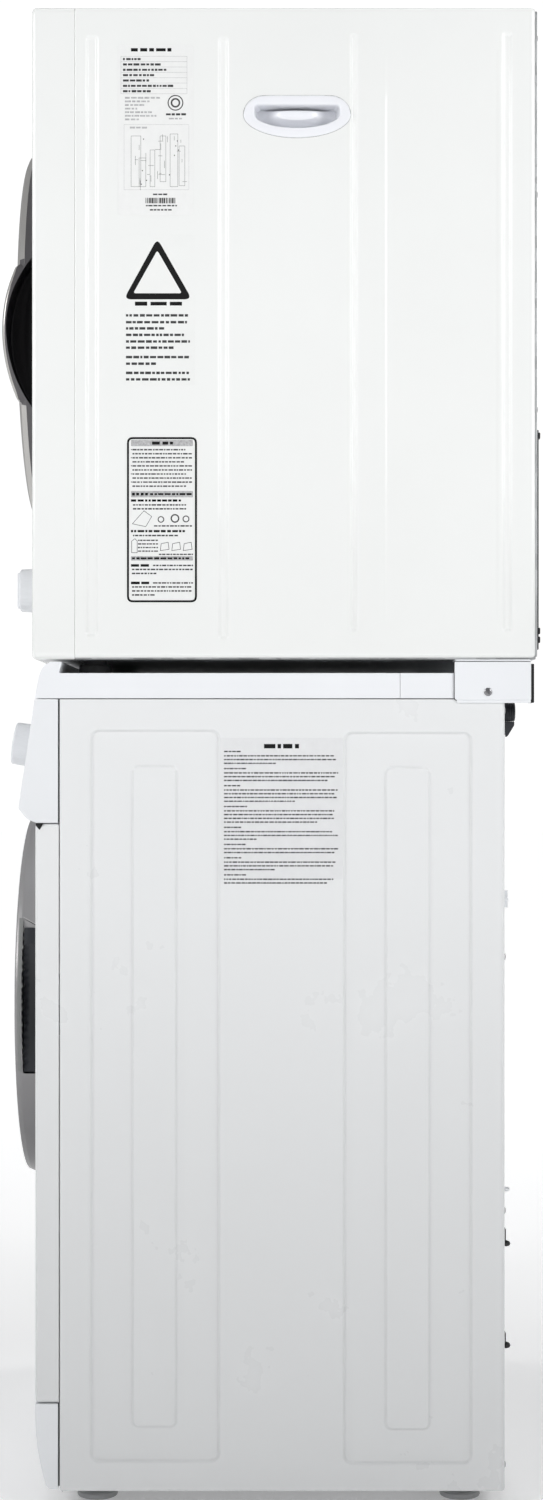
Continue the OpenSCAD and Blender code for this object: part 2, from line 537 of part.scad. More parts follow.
module detergent_drawer() color("whitesmoke") {
  // front, which follows the fascia
  difference() {
    alongx(F_OUT, -283.4, -106.6);
    alongx([[-233.2, 824], [-250.2, 713], [-243.8, 690], [-200, 690], [-200, 824]], -290, -100);
    bx(-300, -90, -270, -200, 690, 724.6);
    bx(-300, -90, -270, -200, 807.4, 830);
    // finger pull
    on_fascia(-195, 734) translate([-34, -12, -1.2]) cube([68, 14, 4]);
  }
  difference() {
    union() { bx(-282, -108, -246, -64, 737, 739); bx(-282, -108, -246, -64, 737, 794); }
    bx(-280, -197, -244, -66, 739, 800);
    bx(-195, -152, -244, -66, 739, 800);
    bx(-150, -110, -244, -66, 739, 800);
    // front end trimmed to the slope
    alongx([[-300, 680], [-255.2, 700], [-234.4, 838], [-300, 838]], -290, -100);
  }
}
module program_knob() color("white") on_fascia(KX, KZ) {
  cylinder(r = 6, h = 3, $fn = 48);
  translate([0, 0, -10]) cylinder(r = 6, h = 11, $fn = 48);
  translate([0, 0, 1]) cylinder(r = program_knob_d / 2 + 1, h = 4, $fn = 72);
  translate([0, 0, 5]) cylinder(r = program_knob_d / 2, h = 20, $fn = 72);
  translate([0, 0, 25]) cylinder(r1 = program_knob_d / 2, r2 = program_knob_d / 2 - 2.5, h = 2.5, $fn = 72);
}
module push(x) on_fascia(x, 748) {
  translate([0, 0, -5]) cylinder(r = button_d / 2, h = 6.6, $fn = 48);
  translate([0, 0, -6.4]) cylinder(r = button_d / 2 + 2, h = 1.6, $fn = 48);
  translate([0, 0, -9]) cylinder(r = 2.5, h = 3, $fn = 24);
}
module power_button() color("white") push(20);
module start_button() color("silver") push(80);
module pump_filter() color("darkslategray") difference() {
  union() {
    cy(25, -210, -198.4, PX, PZ);
    bx(PX - 20, PX + 20, -219, -209, PZ - 4, PZ + 4);
    cy(18, -199, -134, PX, PZ);
  }
  cy(16, -190, -130, PX, PZ);
  for (y = [-182:12:-146], a = [0:45:135]) translate([PX, y, PZ]) rotate([0, a, 0]) bx(-20, 20, 0, 5, -2.5, 2.5);
}
module filter_flap() color("whitesmoke") {
  difference() {
    kick_shell(175, 265);
    bx(170, 270, -240, -205, 0, 31.5);
    bx(170, 270, -240, -205, 92, 110);
    bx(170, 270, -220.2, -205, 0, 110);
  }
  for (x = [175, 260]) cx(1.9, x, x + 5, -229.4, 33.4);
  cx(1, 171.4, 180, -229.4, 33.4);
  cx(1, 260, 268.6, -229.4, 33.4);
}

/* ---- dryer, moving ---- */

module dryer_door_frame() color("silver") difference() {
  union() {
    revy([[150, -256], [156, -261], [185, -265], [200, -265], [206, -262], [dryer_door_r, -256], [dryer_door_r, -241.6],
      [dryer_door_r - 2.6, -241.6], [dryer_door_r - 2.6, -255.4], [204, -259.6], [199, -262.2], [185, -262.2], [157, -258.2], [150, -253]], 0, DZ);
    // bowed handle with a scooped pocket behind its lip
    intersection() {
      difference() { cy(dryer_door_r - 0.6, -282, -241.6, 0, DZ, 120); cy(160, -283, -240, 0, DZ, 120); }
      bx(120, 214, -284, -241.6, DZ - 115, DZ + 85);
      union() { cx(179, 120, 215, -101, 1226, 120); bx(150, 215, -262, -241, 1140, 1312); }
    }
    difference() { ty(206.4, 204, -260, -241.6, 0, DZ); bx(-220, 100, -270, -230, 900, 1600); }
    // rear skin and hinge side
    difference() { ty(dryer_door_r - 2.6, 158, -244, -241.6, 0, DZ); bx(DHX - 5, -150, -246, -240, DZ - 45, DZ + 45); }
    // hinge leaf and knuckle
    cz(5.6, DZ - 39, DZ + 39, DHX, DHY);
    bx(DHX, -170, -248, -243, DZ - 36, DZ + 36);
    bx(-190, -158, -248, -241.6, DZ - 50, DZ + 50);
  }
  cx(108.3, 172, 220, -167, 1226, 120);
  cz(4 + run_gap, DZ - 60, DZ + 60, DHX, DHY);
  difference() { bx(DHX - 20, DHX + 11, -270, -230, DZ - 52, DZ + 52); cz(5.6, DZ - 39, DZ + 39, DHX, DHY); bx(DHX, -170, -248, -243, DZ - 36, DZ + 36); }
}
module dryer_door_window() color("black") {
  revy([[0, -263], [60, -262.4], [110, -260.6], [149.6, -257], [149.6, -252.6], [157.6, -252.6], [157.6, -246], [145, -246], [140, -231], [0, -229], [0, -232], [137, -234], [142, -249], [142, -254], [109, -257], [60, -259], [0, -259.6]], 0, DZ);
}
module dryer_drum() color("silver") {
  revy([[200, -186], [dry_drum_r, -186], [dry_drum_r, 198], [0, 198], [0, 196], [dry_drum_r - 2, 196], [dry_drum_r - 2, -184], [200, -184]], 0, DZ);
  cy(28, 197, 204, 0, DZ);
  cy(10, 200, 258, 0, DZ);
  for (a = [90, 210, 330]) translate([0, 0, DZ]) rotate([0, -a, 0])
    intersection() {
      translate([0, 180, 0]) rotate([90, 0, 0]) linear_extrude(350) polygon([[dry_drum_r + 5, -24], [dry_drum_r - 34, -10], [dry_drum_r - 46, 0], [dry_drum_r - 34, 10], [dry_drum_r + 5, 24]]);
      cy(dry_drum_r - 1, -175, 185, 0, 0, 120);
    }
}
module blower_fan() color("dimgray") {
  cy(6, -40, 252, BX, BZ);
  cy(12, -38, -22, BX, BZ);
  cy(34, -6, 82, BX, BZ);
  cy(14, 216, 254, BX, BZ);
  cy(60, 252, 255, BX, BZ);
  ty(60, 46, 218, 220, BX, BZ);
  for (a = [0:30:330]) translate([BX, 0, BZ]) rotate([0, a, 0]) bx(46, 58, 219, 253, -1, 1);
}
module idler_pulley() color("white") difference() {
  cy(16, -40, -24, IDL[0], IDL[1]);
  cy(3.5 + run_gap, -50, -10, IDL[0], IDL[1]);
}
module timer_knob() color("silver") {
  cy(3, -241, -222, TX, TZ);
  cy(timer_knob_d / 2, -259, -240, TX, TZ, 72);
  translate([TX, -259, TZ]) rotate([90, 0, 0]) cylinder(r1 = timer_knob_d / 2, r2 = timer_knob_d / 2 - 4, h = 3.5, $fn = 72);
  bx(TX - 3, TX + 3, -265, -258, TZ - 19, TZ + 19);
}
module lint_filter() color("lightsteelblue") difference() {
  union() { bx(-70, 70, -222, -202, 1036, 1066); bx(-60, 60, -221, -203, 1066, 1079); }
  bx(-66, 66, -218, -206, 1035, 1062);
  bx(-22, 22, -218, -206, 1060, 1075);
}

washer_cabinet();
washer_rear_cover();
washer_base();
washer_worktop();
washer_front_panel();
kick_panel();
washer_fascia();
control_board();
detergent_housing();
inlet_valve();
feet();
door_gasket();
suspension_springs();
damper_cylinders();
drain_pump();
rear_plugs();
door_hinges();
door_lock();
screws();
labels();
stacking_brackets();
dryer_cabinet();
dryer_front_panel();
dryer_rear_panel();
dryer_rear_cover();
dryer_base();
side_grips();
front_bulkhead();
dryer_heater();
dryer_motor();
blower_housing();
dryer_belt();
dryer_timer();
tub_front();
tub_rear();
counterweights();
drum_bearings();
washer_motor();
washer_belt();
damper_rods();
washer_door_frame();
washer_door_glass();
washer_door_inner();
washer_drum();
drum_lifters();
drum_spider();
motor_rotor();
detergent_drawer();
program_knob();
power_button();
start_button();
pump_filter();
filter_flap();
dryer_door_frame();
dryer_door_window();
dryer_drum();
blower_fan();
idler_pulley();
timer_knob();
lint_filter();
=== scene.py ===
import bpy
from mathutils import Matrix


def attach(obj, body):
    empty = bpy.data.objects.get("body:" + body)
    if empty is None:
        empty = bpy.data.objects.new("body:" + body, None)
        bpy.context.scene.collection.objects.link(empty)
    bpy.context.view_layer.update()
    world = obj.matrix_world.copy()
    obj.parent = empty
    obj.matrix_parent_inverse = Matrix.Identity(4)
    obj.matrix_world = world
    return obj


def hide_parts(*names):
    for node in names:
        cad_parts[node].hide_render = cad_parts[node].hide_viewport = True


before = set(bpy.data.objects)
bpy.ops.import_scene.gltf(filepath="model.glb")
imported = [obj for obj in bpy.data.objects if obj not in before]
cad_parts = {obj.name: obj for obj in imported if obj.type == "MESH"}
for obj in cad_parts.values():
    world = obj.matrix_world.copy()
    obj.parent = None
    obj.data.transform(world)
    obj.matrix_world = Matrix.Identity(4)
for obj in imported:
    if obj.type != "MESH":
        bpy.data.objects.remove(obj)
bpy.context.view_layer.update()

import math
import random

import bmesh
import bpy
from mathutils import Matrix, Vector

MM = 0.001
SCENE = bpy.context.scene
RNG = random.Random(11)


# ------------------------------------------------------------------ camera, light, floor

def add_camera():
    cam = bpy.data.cameras.new("camera")
    ob = bpy.data.objects.new("camera", cam)
    SCENE.collection.objects.link(ob)
    cam.sensor_width = 36.0
    cam.lens = 57.3
    cam.clip_start, cam.clip_end = 0.05, 60
    ob.location = (2.730, 0.005, 0.7716)
    ob.rotation_mode = "QUATERNION"
    ob.rotation_quaternion = Vector((-1, 0, 0)).to_track_quat("-Z", "Y")
    SCENE.camera = ob


def area(name, loc, target, size, power, spread=180.0, color=(1, 1, 1), glossy=True, diffuse=True):
    li = bpy.data.lights.new(name, "AREA")
    li.shape = "RECTANGLE"
    li.size, li.size_y = size
    li.energy = power
    li.color = color
    li.spread = math.radians(spread)
    ob = bpy.data.objects.new(name, li)
    ob.location = loc
    ob.rotation_mode = "QUATERNION"
    ob.rotation_quaternion = (Vector(target) - Vector(loc)).to_track_quat("-Z", "Y")
    ob.visible_camera = False
    ob.visible_glossy = glossy
    ob.visible_diffuse = diffuse
    SCENE.collection.objects.link(ob)
    return ob


def add_world():
    w = bpy.data.worlds.new("studio")
    SCENE.world = w
    w.use_nodes = True
    nt = w.node_tree
    nt.nodes.clear()
    out = nt.nodes.new("ShaderNodeOutputWorld")
    mix = nt.nodes.new("ShaderNodeMixShader")
    path = nt.nodes.new("ShaderNodeLightPath")
    soft = nt.nodes.new("ShaderNodeBackground")
    soft.inputs["Color"].default_value = (0.97, 0.985, 1.0, 1)
    soft.inputs["Strength"].default_value = 0.24
    back = nt.nodes.new("ShaderNodeBackground")
    back.inputs["Color"].default_value = (1, 1, 1, 1)
    back.inputs["Strength"].default_value = 1.05
    nt.links.new(path.outputs["Is Camera Ray"], mix.inputs[0])
    nt.links.new(soft.outputs[0], mix.inputs[1])
    nt.links.new(back.outputs[0], mix.inputs[2])
    nt.links.new(mix.outputs[0], out.inputs[0])


# ------------------------------------------------------------------ node helpers

class Mat:
    """A principled material with helpers for procedural detail."""

    def __init__(self, name, color, rough=0.4, metal=0.0, **sockets):
        self.m = bpy.data.materials.new(name)
        self.m.use_nodes = True
        self.nt = self.m.node_tree
        self.nt.nodes.clear()
        self.out = self.nt.nodes.new("ShaderNodeOutputMaterial")
        self.b = self.nt.nodes.new("ShaderNodeBsdfPrincipled")
        self.nt.links.new(self.b.outputs[0], self.out.inputs[0])
        self.color, self.rough = color, rough
        self.b.inputs["Base Color"].default_value = (*color, 1)
        self.b.inputs["Roughness"].default_value = rough
        self.b.inputs["Metallic"].default_value = metal
        for k, v in sockets.items():
            self.b.inputs[k.replace("_", " ")].default_value = v
        self.tc = self.nt.nodes.new("ShaderNodeTexCoord")
        self.m.diffuse_color = (*color, 1)
        self.col = None
        self.normal = None

    def node(self, kind, **props):
        n = self.nt.nodes.new(kind)
        for k, v in props.items():
            setattr(n, k, v)
        return n

    def link(self, a, b):
        self.nt.links.new(a, b)

    def coords(self, scale=(1, 1, 1), loc=(0, 0, 0), rot=(0, 0, 0)):
        mp = self.node("ShaderNodeMapping")
        mp.inputs["Scale"].default_value = scale
        mp.inputs["Location"].default_value = loc
        mp.inputs["Rotation"].default_value = rot
        self.link(self.tc.outputs["Object"], mp.inputs[0])
        return mp.outputs[0]

    def noise(self, scale, detail=3.0, rough=0.55, coords=None, distort=0.0):
        n = self.node("ShaderNodeTexNoise")
        n.inputs["Scale"].default_value = scale
        n.inputs["Detail"].default_value = detail
        n.inputs["Roughness"].default_value = rough
        n.inputs["Distortion"].default_value = distort
        self.link(coords or self.tc.outputs["Object"], n.inputs["Vector"])
        return n.outputs[0]

    def ramp(self, fac, stops):
        r = self.node("ShaderNodeValToRGB")
        el = r.color_ramp.elements
        while len(el) > 2:
            el.remove(el[-1])
        for k, (pos, c) in enumerate(stops):
            e = el[k] if k < 2 else el.new(pos)
            e.position = pos
            e.color = (*c, 1) if isinstance(c, tuple) else (c, c, c, 1)
        self.link(fac, r.inputs[0])
        return r.outputs[0]

    def range(self, fac, lo, hi, a=0.0, b=1.0):
        r = self.node("ShaderNodeMapRange")
        r.inputs["From Min"].default_value = a
        r.inputs["From Max"].default_value = b
        r.inputs["To Min"].default_value = lo
        r.inputs["To Max"].default_value = hi
        self.link(fac, r.inputs[0])
        return r.outputs[0]

    def tint(self, fac, lo, hi, a=0.3, b=0.7):
        """base colour runs between two shades of itself along a factor"""
        c = self.color
        self.set_color(self.ramp(fac, [(a, tuple(x * lo for x in c)), (b, tuple(min(1.0, x * hi) for x in c))]))
        return self

    def set_color(self, socket):
        self.col = socket
        self.link(socket, self.b.inputs["Base Color"])

    def blend(self, fac, color):
        """mixes another colour over what is there"""
        mx = self.node("ShaderNodeMix", data_type="RGBA")
        self.link(fac, mx.inputs[0])
        if self.col is None:
            mx.inputs[6].default_value = (*self.color, 1)
        else:
            self.link(self.col, mx.inputs[6])
        mx.inputs[7].default_value = (*color, 1)
        self.set_color(mx.outputs[2])
        return self

    def roughness(self, fac, lo, hi, a=0.3, b=0.7):
        self.link(self.range(fac, lo, hi, a, b), self.b.inputs["Roughness"])
        return self

    def bump(self, height, strength=0.1, distance=0.001):
        n = self.node("ShaderNodeBump")
        n.inputs["Strength"].default_value = strength
        n.inputs["Distance"].default_value = distance
        self.link(height, n.inputs["Height"])
        if self.normal is not None:
            self.link(self.normal, n.inputs["Normal"])
        self.normal = n.outputs[0]
        self.link(self.normal, self.b.inputs["Normal"])
        return self

    def spot(self, at, radius, depth, color):
        """a soft round mark at a place on the object, in metres"""
        d = self.node("ShaderNodeVectorMath", operation="DISTANCE")
        self.link(self.tc.outputs["Object"], d.inputs[0])
        d.inputs[1].default_value = at
        self.blend(self.range(d.outputs["Value"], depth, 0.0, 0.0, radius), color)
        return self


def enamel(name, color, rough=0.22, peel=0.03, coat=0.35, dirt=0.0):
    """glossy sheet-metal enamel with orange peel, faint colour drift and handling marks"""
    m = Mat(name, color, rough, Coat_Weight=coat, Coat_Roughness=0.06)
    m.tint(m.noise(3.2, 4.0), 0.978, 1.012)
    m.roughness(m.noise(9.0, 5.0, 0.6), rough * 0.85, rough * 1.35)
    m.bump(m.noise(620.0, 2.0), peel, 0.0004)
    m.bump(m.noise(28.0, 2.0), 0.05, 0.0006)
    if dirt:
        m.blend(m.range(m.noise(5.5, 7.0, 0.72), 0.0, dirt, 0.56, 0.78), (0.52, 0.51, 0.49))
    return m


def plastic(name, color, rough=0.38, grain=0.08, scale=900.0, coat=0.0):
    m = Mat(name, color, rough, Coat_Weight=coat, Coat_Roughness=0.12)
    m.tint(m.noise(6.0, 3.0), 0.972, 1.014)
    m.roughness(m.noise(14.0, 4.0), rough * 0.88, rough * 1.2)
    m.bump(m.noise(scale, 3.0, 0.6), grain, 0.0004)
    return m


def metal(name, color, rough=0.3, metallic=1.0, brushed=None, wear=0.0):
    m = Mat(name, color, rough, metallic)
    if brushed:
        c = m.coords(brushed)
        f = m.noise(1.0, 4.0, 0.65, c)
        m.tint(f, 0.86, 1.1)
        m.roughness(f, rough * 0.75, rough * 1.35)
        m.bump(f, 0.06, 0.0003)
    else:
        f = m.noise(38.0, 5.0, 0.6)
        m.tint(f, 0.88, 1.08)
        m.roughness(f, rough * 0.8, rough * 1.3)
        m.bump(m.noise(700.0, 2.0), 0.05, 0.0003)
    if wear:
        m.blend(m.range(m.noise(16.0, 7.0, 0.7), 0.0, wear, 0.55, 0.75), (0.12, 0.1, 0.085))
    return m


# ------------------------------------------------------------------ materials

DRY = enamel("dryer_enamel", (0.835, 0.845, 0.835), 0.2, 0.03, 0.5)
# a darker, duller copy of the dryer enamel for the top faces: painted shade so the brightly lit top does not wash out
DRY_TOP_SHADED = enamel("dryer_top_enamel_painted_shade", (0.79, 0.80, 0.79), 0.5, 0.03, 0.0)
DRY_TOP_SHADED.b.inputs["Specular IOR Level"].default_value = 0.12
WASH = enamel("washer_enamel", (0.785, 0.795, 0.80), 0.3, 0.05, 0.2, 0.004)
for at, rad, depth in (((0.298, -0.028, 0.200), 0.007, 0.27), ((0.298, 0.036, 0.105), 0.008, 0.30),
                       ((0.298, 0.122, 0.122), 0.007, 0.24), ((0.298, -0.178, 0.040), 0.008, 0.27),
                       ((0.298, 0.139, 0.037), 0.008, 0.21), ((0.298, 0.007, 0.065), 0.010, 0.15)):
    WASH.spot(at, rad, depth, (0.42, 0.41, 0.40))
# the washer enamel is made darker towards the bottom: painted shade for the light falling off lower down
s_ = WASH.node("ShaderNodeSeparateXYZ")
WASH.link(WASH.tc.outputs["Object"], s_.inputs[0])
WASH.tint(s_.outputs["Z"], 0.895, 1.0, 0.02, 0.62)
TOP = plastic("worktop_laminate", (0.83, 0.845, 0.87), 0.33, 0.04, 700.0, 0.15)
PLA = plastic("white_plastic", (0.80, 0.815, 0.835), 0.34, 0.06, 1100.0, 0.1)
KNOB = plastic("knob_plastic", (0.74, 0.755, 0.78), 0.30, 0.03, 900.0, 0.25)
GRIP = plastic("grip_plastic", (0.815, 0.825, 0.86), 0.3, 0.04, 800.0, 0.2)


def flake(name, color, rough, metallic):
    """metallic lacquer: fine flake, very slight cloudiness"""
    m = Mat(name, color, rough, metallic, Coat_Weight=0.2, Coat_Roughness=0.12)
    m.tint(m.noise(9.0, 2.0), 0.965, 1.025)
    m.tint(m.noise(2600.0, 2.0), 0.93, 1.07)
    m.roughness(m.noise(11.0, 2.0), rough * 0.94, rough * 1.08)
    m.bump(m.noise(2200.0, 2.0), 0.06, 0.0002)
    return m


RING = flake("ring_silver_paint", (0.30, 0.295, 0.30), 0.34, 0.55)
# the door ring's paint is darker low down and lighter high up: painted shade and painted light for how the light falls
# on it
s_ = RING.node("ShaderNodeSeparateXYZ")
RING.link(RING.tc.outputs["Object"], s_.inputs[0])
RING.tint(s_.outputs["Z"], 0.62, 1.5, 0.32, 0.66)
RING_L = flake("ring_front_silver", (0.56, 0.555, 0.55), 0.3, 0.75)
LIP = plastic("grip_lip", (0.235, 0.24, 0.235), 0.4, 0.06, 900.0)
DARKP = plastic("dark_plastic", (0.022, 0.024, 0.030), 0.36, 0.08, 700.0)
BLACK = plastic("gloss_black", (0.004, 0.004, 0.005), 0.08, 0.01, 300.0, 0.5)
BLACKS = plastic("satin_black", (0.0035, 0.003, 0.004), 0.5, 0.02, 300.0)
BLACKS.b.inputs["Specular IOR Level"].default_value = 0.16
DARKR = flake("ring_dark_paint", (0.105, 0.10, 0.105), 0.36, 0.45)
BEVEL = flake("ring_bevel_silver", (0.47, 0.46, 0.445), 0.28, 0.6)
RUBBER = plastic("grey_rubber", (0.135, 0.138, 0.142), 0.62, 0.22, 480.0)
# near-black plastic for real trims, and for the strips and foils that paint the shade in gaps and along edges
DARK_TRIM_SHADE = plastic("dark_trim_and_painted_shade", (0.006, 0.006, 0.007), 0.8, 0.2, 420.0)
BRUB = plastic("black_rubber", (0.018, 0.018, 0.019), 0.58, 0.25, 420.0)
STEEL = metal("bright_steel", (0.56, 0.56, 0.57), 0.24, 1.0, (60.0, 900.0, 60.0))
ZINC = metal("screw_zinc", (0.30, 0.30, 0.31), 0.32, 1.0, None, 0.25)
CAST = metal("cast_alloy", (0.42, 0.42, 0.43), 0.46, 1.0, None, 0.18)
MOTOR = metal("motor_steel", (0.20, 0.205, 0.215), 0.42, 0.85, (300.0, 40.0, 300.0), 0.2)
COPPER = metal("copper_winding", (0.62, 0.27, 0.11), 0.32, 1.0, (20.0, 700.0, 20.0))
TUBP = plastic("tub_plastic", (0.46, 0.475, 0.49), 0.48, 0.2, 240.0)
PUMPP = plastic("pump_plastic", (0.66, 0.67, 0.68), 0.42, 0.14, 320.0)
FOOT = plastic("foot_plastic", (0.42, 0.425, 0.43), 0.5, 0.16, 420.0)

STAIN = Mat("drum_stainless", (0.62, 0.62, 0.63), 0.2, 1.0)
f_ = STAIN.noise(1.0, 4.0, 0.6, STAIN.coords((40.0, 1400.0, 40.0)))
STAIN.tint(f_, 0.88, 1.08).roughness(f_, 0.14, 0.3).bump(f_, 0.04, 0.0002)
# dark dots with small dents where the drum's holes are: painted shade standing in for the perforations
v_ = STAIN.node("ShaderNodeTexVoronoi")
v_.inputs["Scale"].default_value = 62.0
STAIN.link(STAIN.tc.outputs["Object"], v_.inputs["Vector"])
STAIN.blend(STAIN.range(v_.outputs["Distance"], 1.0, 0.0, 0.12, 0.17), (0.03, 0.03, 0.032))
STAIN.bump(STAIN.range(v_.outputs["Distance"], 0.0, 1.0, 0.1, 0.24), 0.35, 0.0012)

GALV = Mat("galvanised_sheet", (0.50, 0.51, 0.52), 0.38, 0.9)
v_ = GALV.node("ShaderNodeTexVoronoi")
v_.inputs["Scale"].default_value = 85.0
GALV.link(GALV.tc.outputs["Object"], v_.inputs["Vector"])
GALV.tint(v_.outputs["Color"], 0.8, 1.12, 0.1, 0.9).roughness(v_.outputs["Color"], 0.28, 0.5, 0.0, 1.0)
GALV.bump(GALV.noise(300.0, 2.0), 0.06, 0.0003)

CONC = Mat("cast_concrete", (0.40, 0.395, 0.38), 0.9)
CONC.tint(CONC.noise(55.0, 8.0, 0.75), 0.7, 1.18).bump(CONC.noise(160.0, 8.0, 0.7), 0.5, 0.002)
v_ = CONC.node("ShaderNodeTexVoronoi")
v_.inputs["Scale"].default_value = 140.0
CONC.link(CONC.tc.outputs["Object"], v_.inputs["Vector"])
CONC.blend(CONC.range(v_.outputs["Distance"], 0.8, 0.0, 0.06, 0.12), (0.17, 0.165, 0.155))

PCB = Mat("circuit_board", (0.02, 0.12, 0.045), 0.4, Coat_Weight=0.4)
br_ = PCB.node("ShaderNodeTexBrick")
br_.inputs["Scale"].default_value = 110.0
br_.inputs["Mortar Size"].default_value = 0.08
br_.inputs["Color1"].default_value = (0.02, 0.12, 0.045, 1)
br_.inputs["Color2"].default_value = (0.016, 0.095, 0.038, 1)
br_.inputs["Mortar"].default_value = (0.10, 0.26, 0.10, 1)
PCB.link(PCB.tc.outputs["Object"], br_.inputs["Vector"])
PCB.set_color(br_.outputs["Color"])
PCB.bump(PCB.noise(500.0, 2.0), 0.1, 0.0004)

BELT = Mat("ribbed_belt", (0.02, 0.02, 0.022), 0.6)
w_ = BELT.node("ShaderNodeTexWave", bands_direction="Y")
w_.inputs["Scale"].default_value = 130.0
BELT.link(BELT.tc.outputs["Object"], w_.inputs["Vector"])
BELT.bump(w_.outputs["Fac"], 0.5, 0.0008).tint(BELT.noise(90.0, 4.0), 0.7, 1.4)

GLASS = Mat("bowl_glass", (0.93, 0.95, 0.95), 0.02, Transmission_Weight=1.0, IOR=1.46)
GLASS.tint(GLASS.noise(9.0, 2.0), 0.985, 1.0)
GLASS.bump(GLASS.noise(24.0, 2.0), 0.04, 0.0008)

PAPER = Mat("label_paper", (0.80, 0.805, 0.80), 0.5, Coat_Weight=0.1)
PAPER.tint(PAPER.noise(1.5, 5.0, 0.7, PAPER.coords((60.0, 60.0, 60.0))), 0.965, 1.01).bump(PAPER.noise(900.0, 3.0), 0.05, 0.0002)
SHEETP = Mat("label_grey_paper", (0.745, 0.75, 0.76), 0.5)
SHEETP.tint(SHEETP.noise(60.0, 5.0, 0.7), 0.955, 1.02).bump(SHEETP.noise(800.0, 3.0), 0.06, 0.0002)
FILM = Mat("label_film", (0.815, 0.825, 0.815), 0.26, Coat_Weight=0.3)
FILM.tint(FILM.noise(22.0, 3.0), 0.985, 1.01).bump(FILM.noise(120.0, 3.0), 0.03, 0.0002)


def ink(name, v):
    m = Mat(name, (v, v, v * 1.02), 0.7)
    m.b.inputs["Specular IOR Level"].default_value = 0.12
    m.tint(m.noise(420.0, 4.0, 0.7), 0.7, 1.35)
    m.bump(m.noise(1200.0, 2.0), 0.06, 0.0001)
    return m


INK = ink("ink_black", 0.010)
INKD = ink("ink_dark", 0.055)
INKG = ink("ink_grey", 0.16)
# light grey ink for print, also used for the painted shadow outline round the grips
INK_LIGHT_AND_SHADOW_LINE = ink("ink_light_and_painted_outline", 0.42)


# ------------------------------------------------------------------ 2-D outlines (millimetres)

def fillet(pts, r=1.0, n=4):
    """rounds the corners of a closed outline; a point may carry its own radius"""
    out = []
    k = len(pts)
    for i in range(k):
        p = Vector(pts[i][:2])
        a = Vector(pts[i - 1][:2]) - p
        b = Vector(pts[(i + 1) % k][:2]) - p
        rad = pts[i][2] if len(pts[i]) > 2 else r
        la, lb = a.length, b.length
        if rad <= 0 or la < 1e-6 or lb < 1e-6:
            out.append(tuple(p))
            continue
        ang = a.angle(b)
        if ang > math.radians(172):
            out.append(tuple(p))
            continue
        d = min(rad / math.tan(ang / 2), 0.46 * la, 0.46 * lb)
        s, e = p + a / la * d, p + b / lb * d
        for j in range(n + 1):
            t = j / n
            out.append(tuple(s * (1 - t) ** 2 + p * 2 * t * (1 - t) + e * t * t))
    return out


def area2(pts):
    return sum(pts[i][0] * pts[(i + 1) % len(pts)][1] - pts[(i + 1) % len(pts)][0] * pts[i][1] for i in range(len(pts)))


def inset(pts, d):
    """moves a closed outline inwards by d"""
    s = 1.0 if area2(pts) > 0 else -1.0
    k = len(pts)
    out = []
    for i in range(k):
        p0, p1, p2 = Vector(pts[i - 1][:2]), Vector(pts[i][:2]), Vector(pts[(i + 1) % k][:2])
        e1, e2 = p1 - p0, p2 - p1
        if e1.length < 1e-7:
            e1 = e2
        if e2.length < 1e-7:
            e2 = e1
        n1 = Vector((-e1.y, e1.x)).normalized() * s
        n2 = Vector((-e2.y, e2.x)).normalized() * s
        m = (n1 + n2)
        q = 1.0 + n1.dot(n2)
        m = m / q if q > 0.3 else m.normalized() * 1.4
        out.append(p1 + m * d)
    # edges that the inset has turned round are closed up
    for _ in range(4):
        for i in range(k):
            j = (i + 1) % k
            e = Vector(pts[j][:2]) - Vector(pts[i][:2])
            if (out[j] - out[i]).dot(e) < 0:
                out[i] = out[j] = (out[i] + out[j]) / 2
    return [tuple(q) for q in out]


def rrect(a0, a1, b0, b1, r, n=6):
    return fillet([(a0, b0), (a1, b0), (a1, b1), (a0, b1)], r, n)


def circle(r, n=64, cx=0.0, cz=0.0, a0=0.0):
    return [(cx + r * math.cos(a0 + 2 * math.pi * i / n), cz + r * math.sin(a0 + 2 * math.pi * i / n)) for i in range(n)]


def dshape(yc, zt, w, h, n=10):
    """grip outline: flat top, round ends, bowed underside"""
    pts = []
    for i in range(n + 1):
        a = math.radians(i * 90 / n)
        pts.append((yc - w / 2 + 0.2 * w - 0.2 * w * math.cos(a), zt - 0.45 * h + 0.45 * h * math.sin(a)))
    m = 8
    for i in range(1, m):
        pts.append((yc - 0.3 * w + 0.6 * w * i / m, zt))
    for i in range(n + 1):
        a = math.radians(i * 90 / n)
        pts.append((yc + w / 2 - 0.2 * w + 0.2 * w * math.sin(a), zt - 0.45 * h + 0.45 * h * math.cos(a)))
    for i in range(1, 3 * n):
        a = math.radians(i * 180 / (3 * n))
        pts.append((yc + w / 2 * math.cos(a), zt - 0.45 * h - 0.55 * h * math.sin(a)))
    return pts


# ------------------------------------------------------------------ mesh parts (millimetres)

AX = {
    "x": lambda u, v, t: (t, u, v),      # outline in Y,Z
    "y": lambda u, v, t: (u, t, v),      # outline in X,Z
    "z": lambda u, v, t: (u, v, t),      # outline in X,Y
}


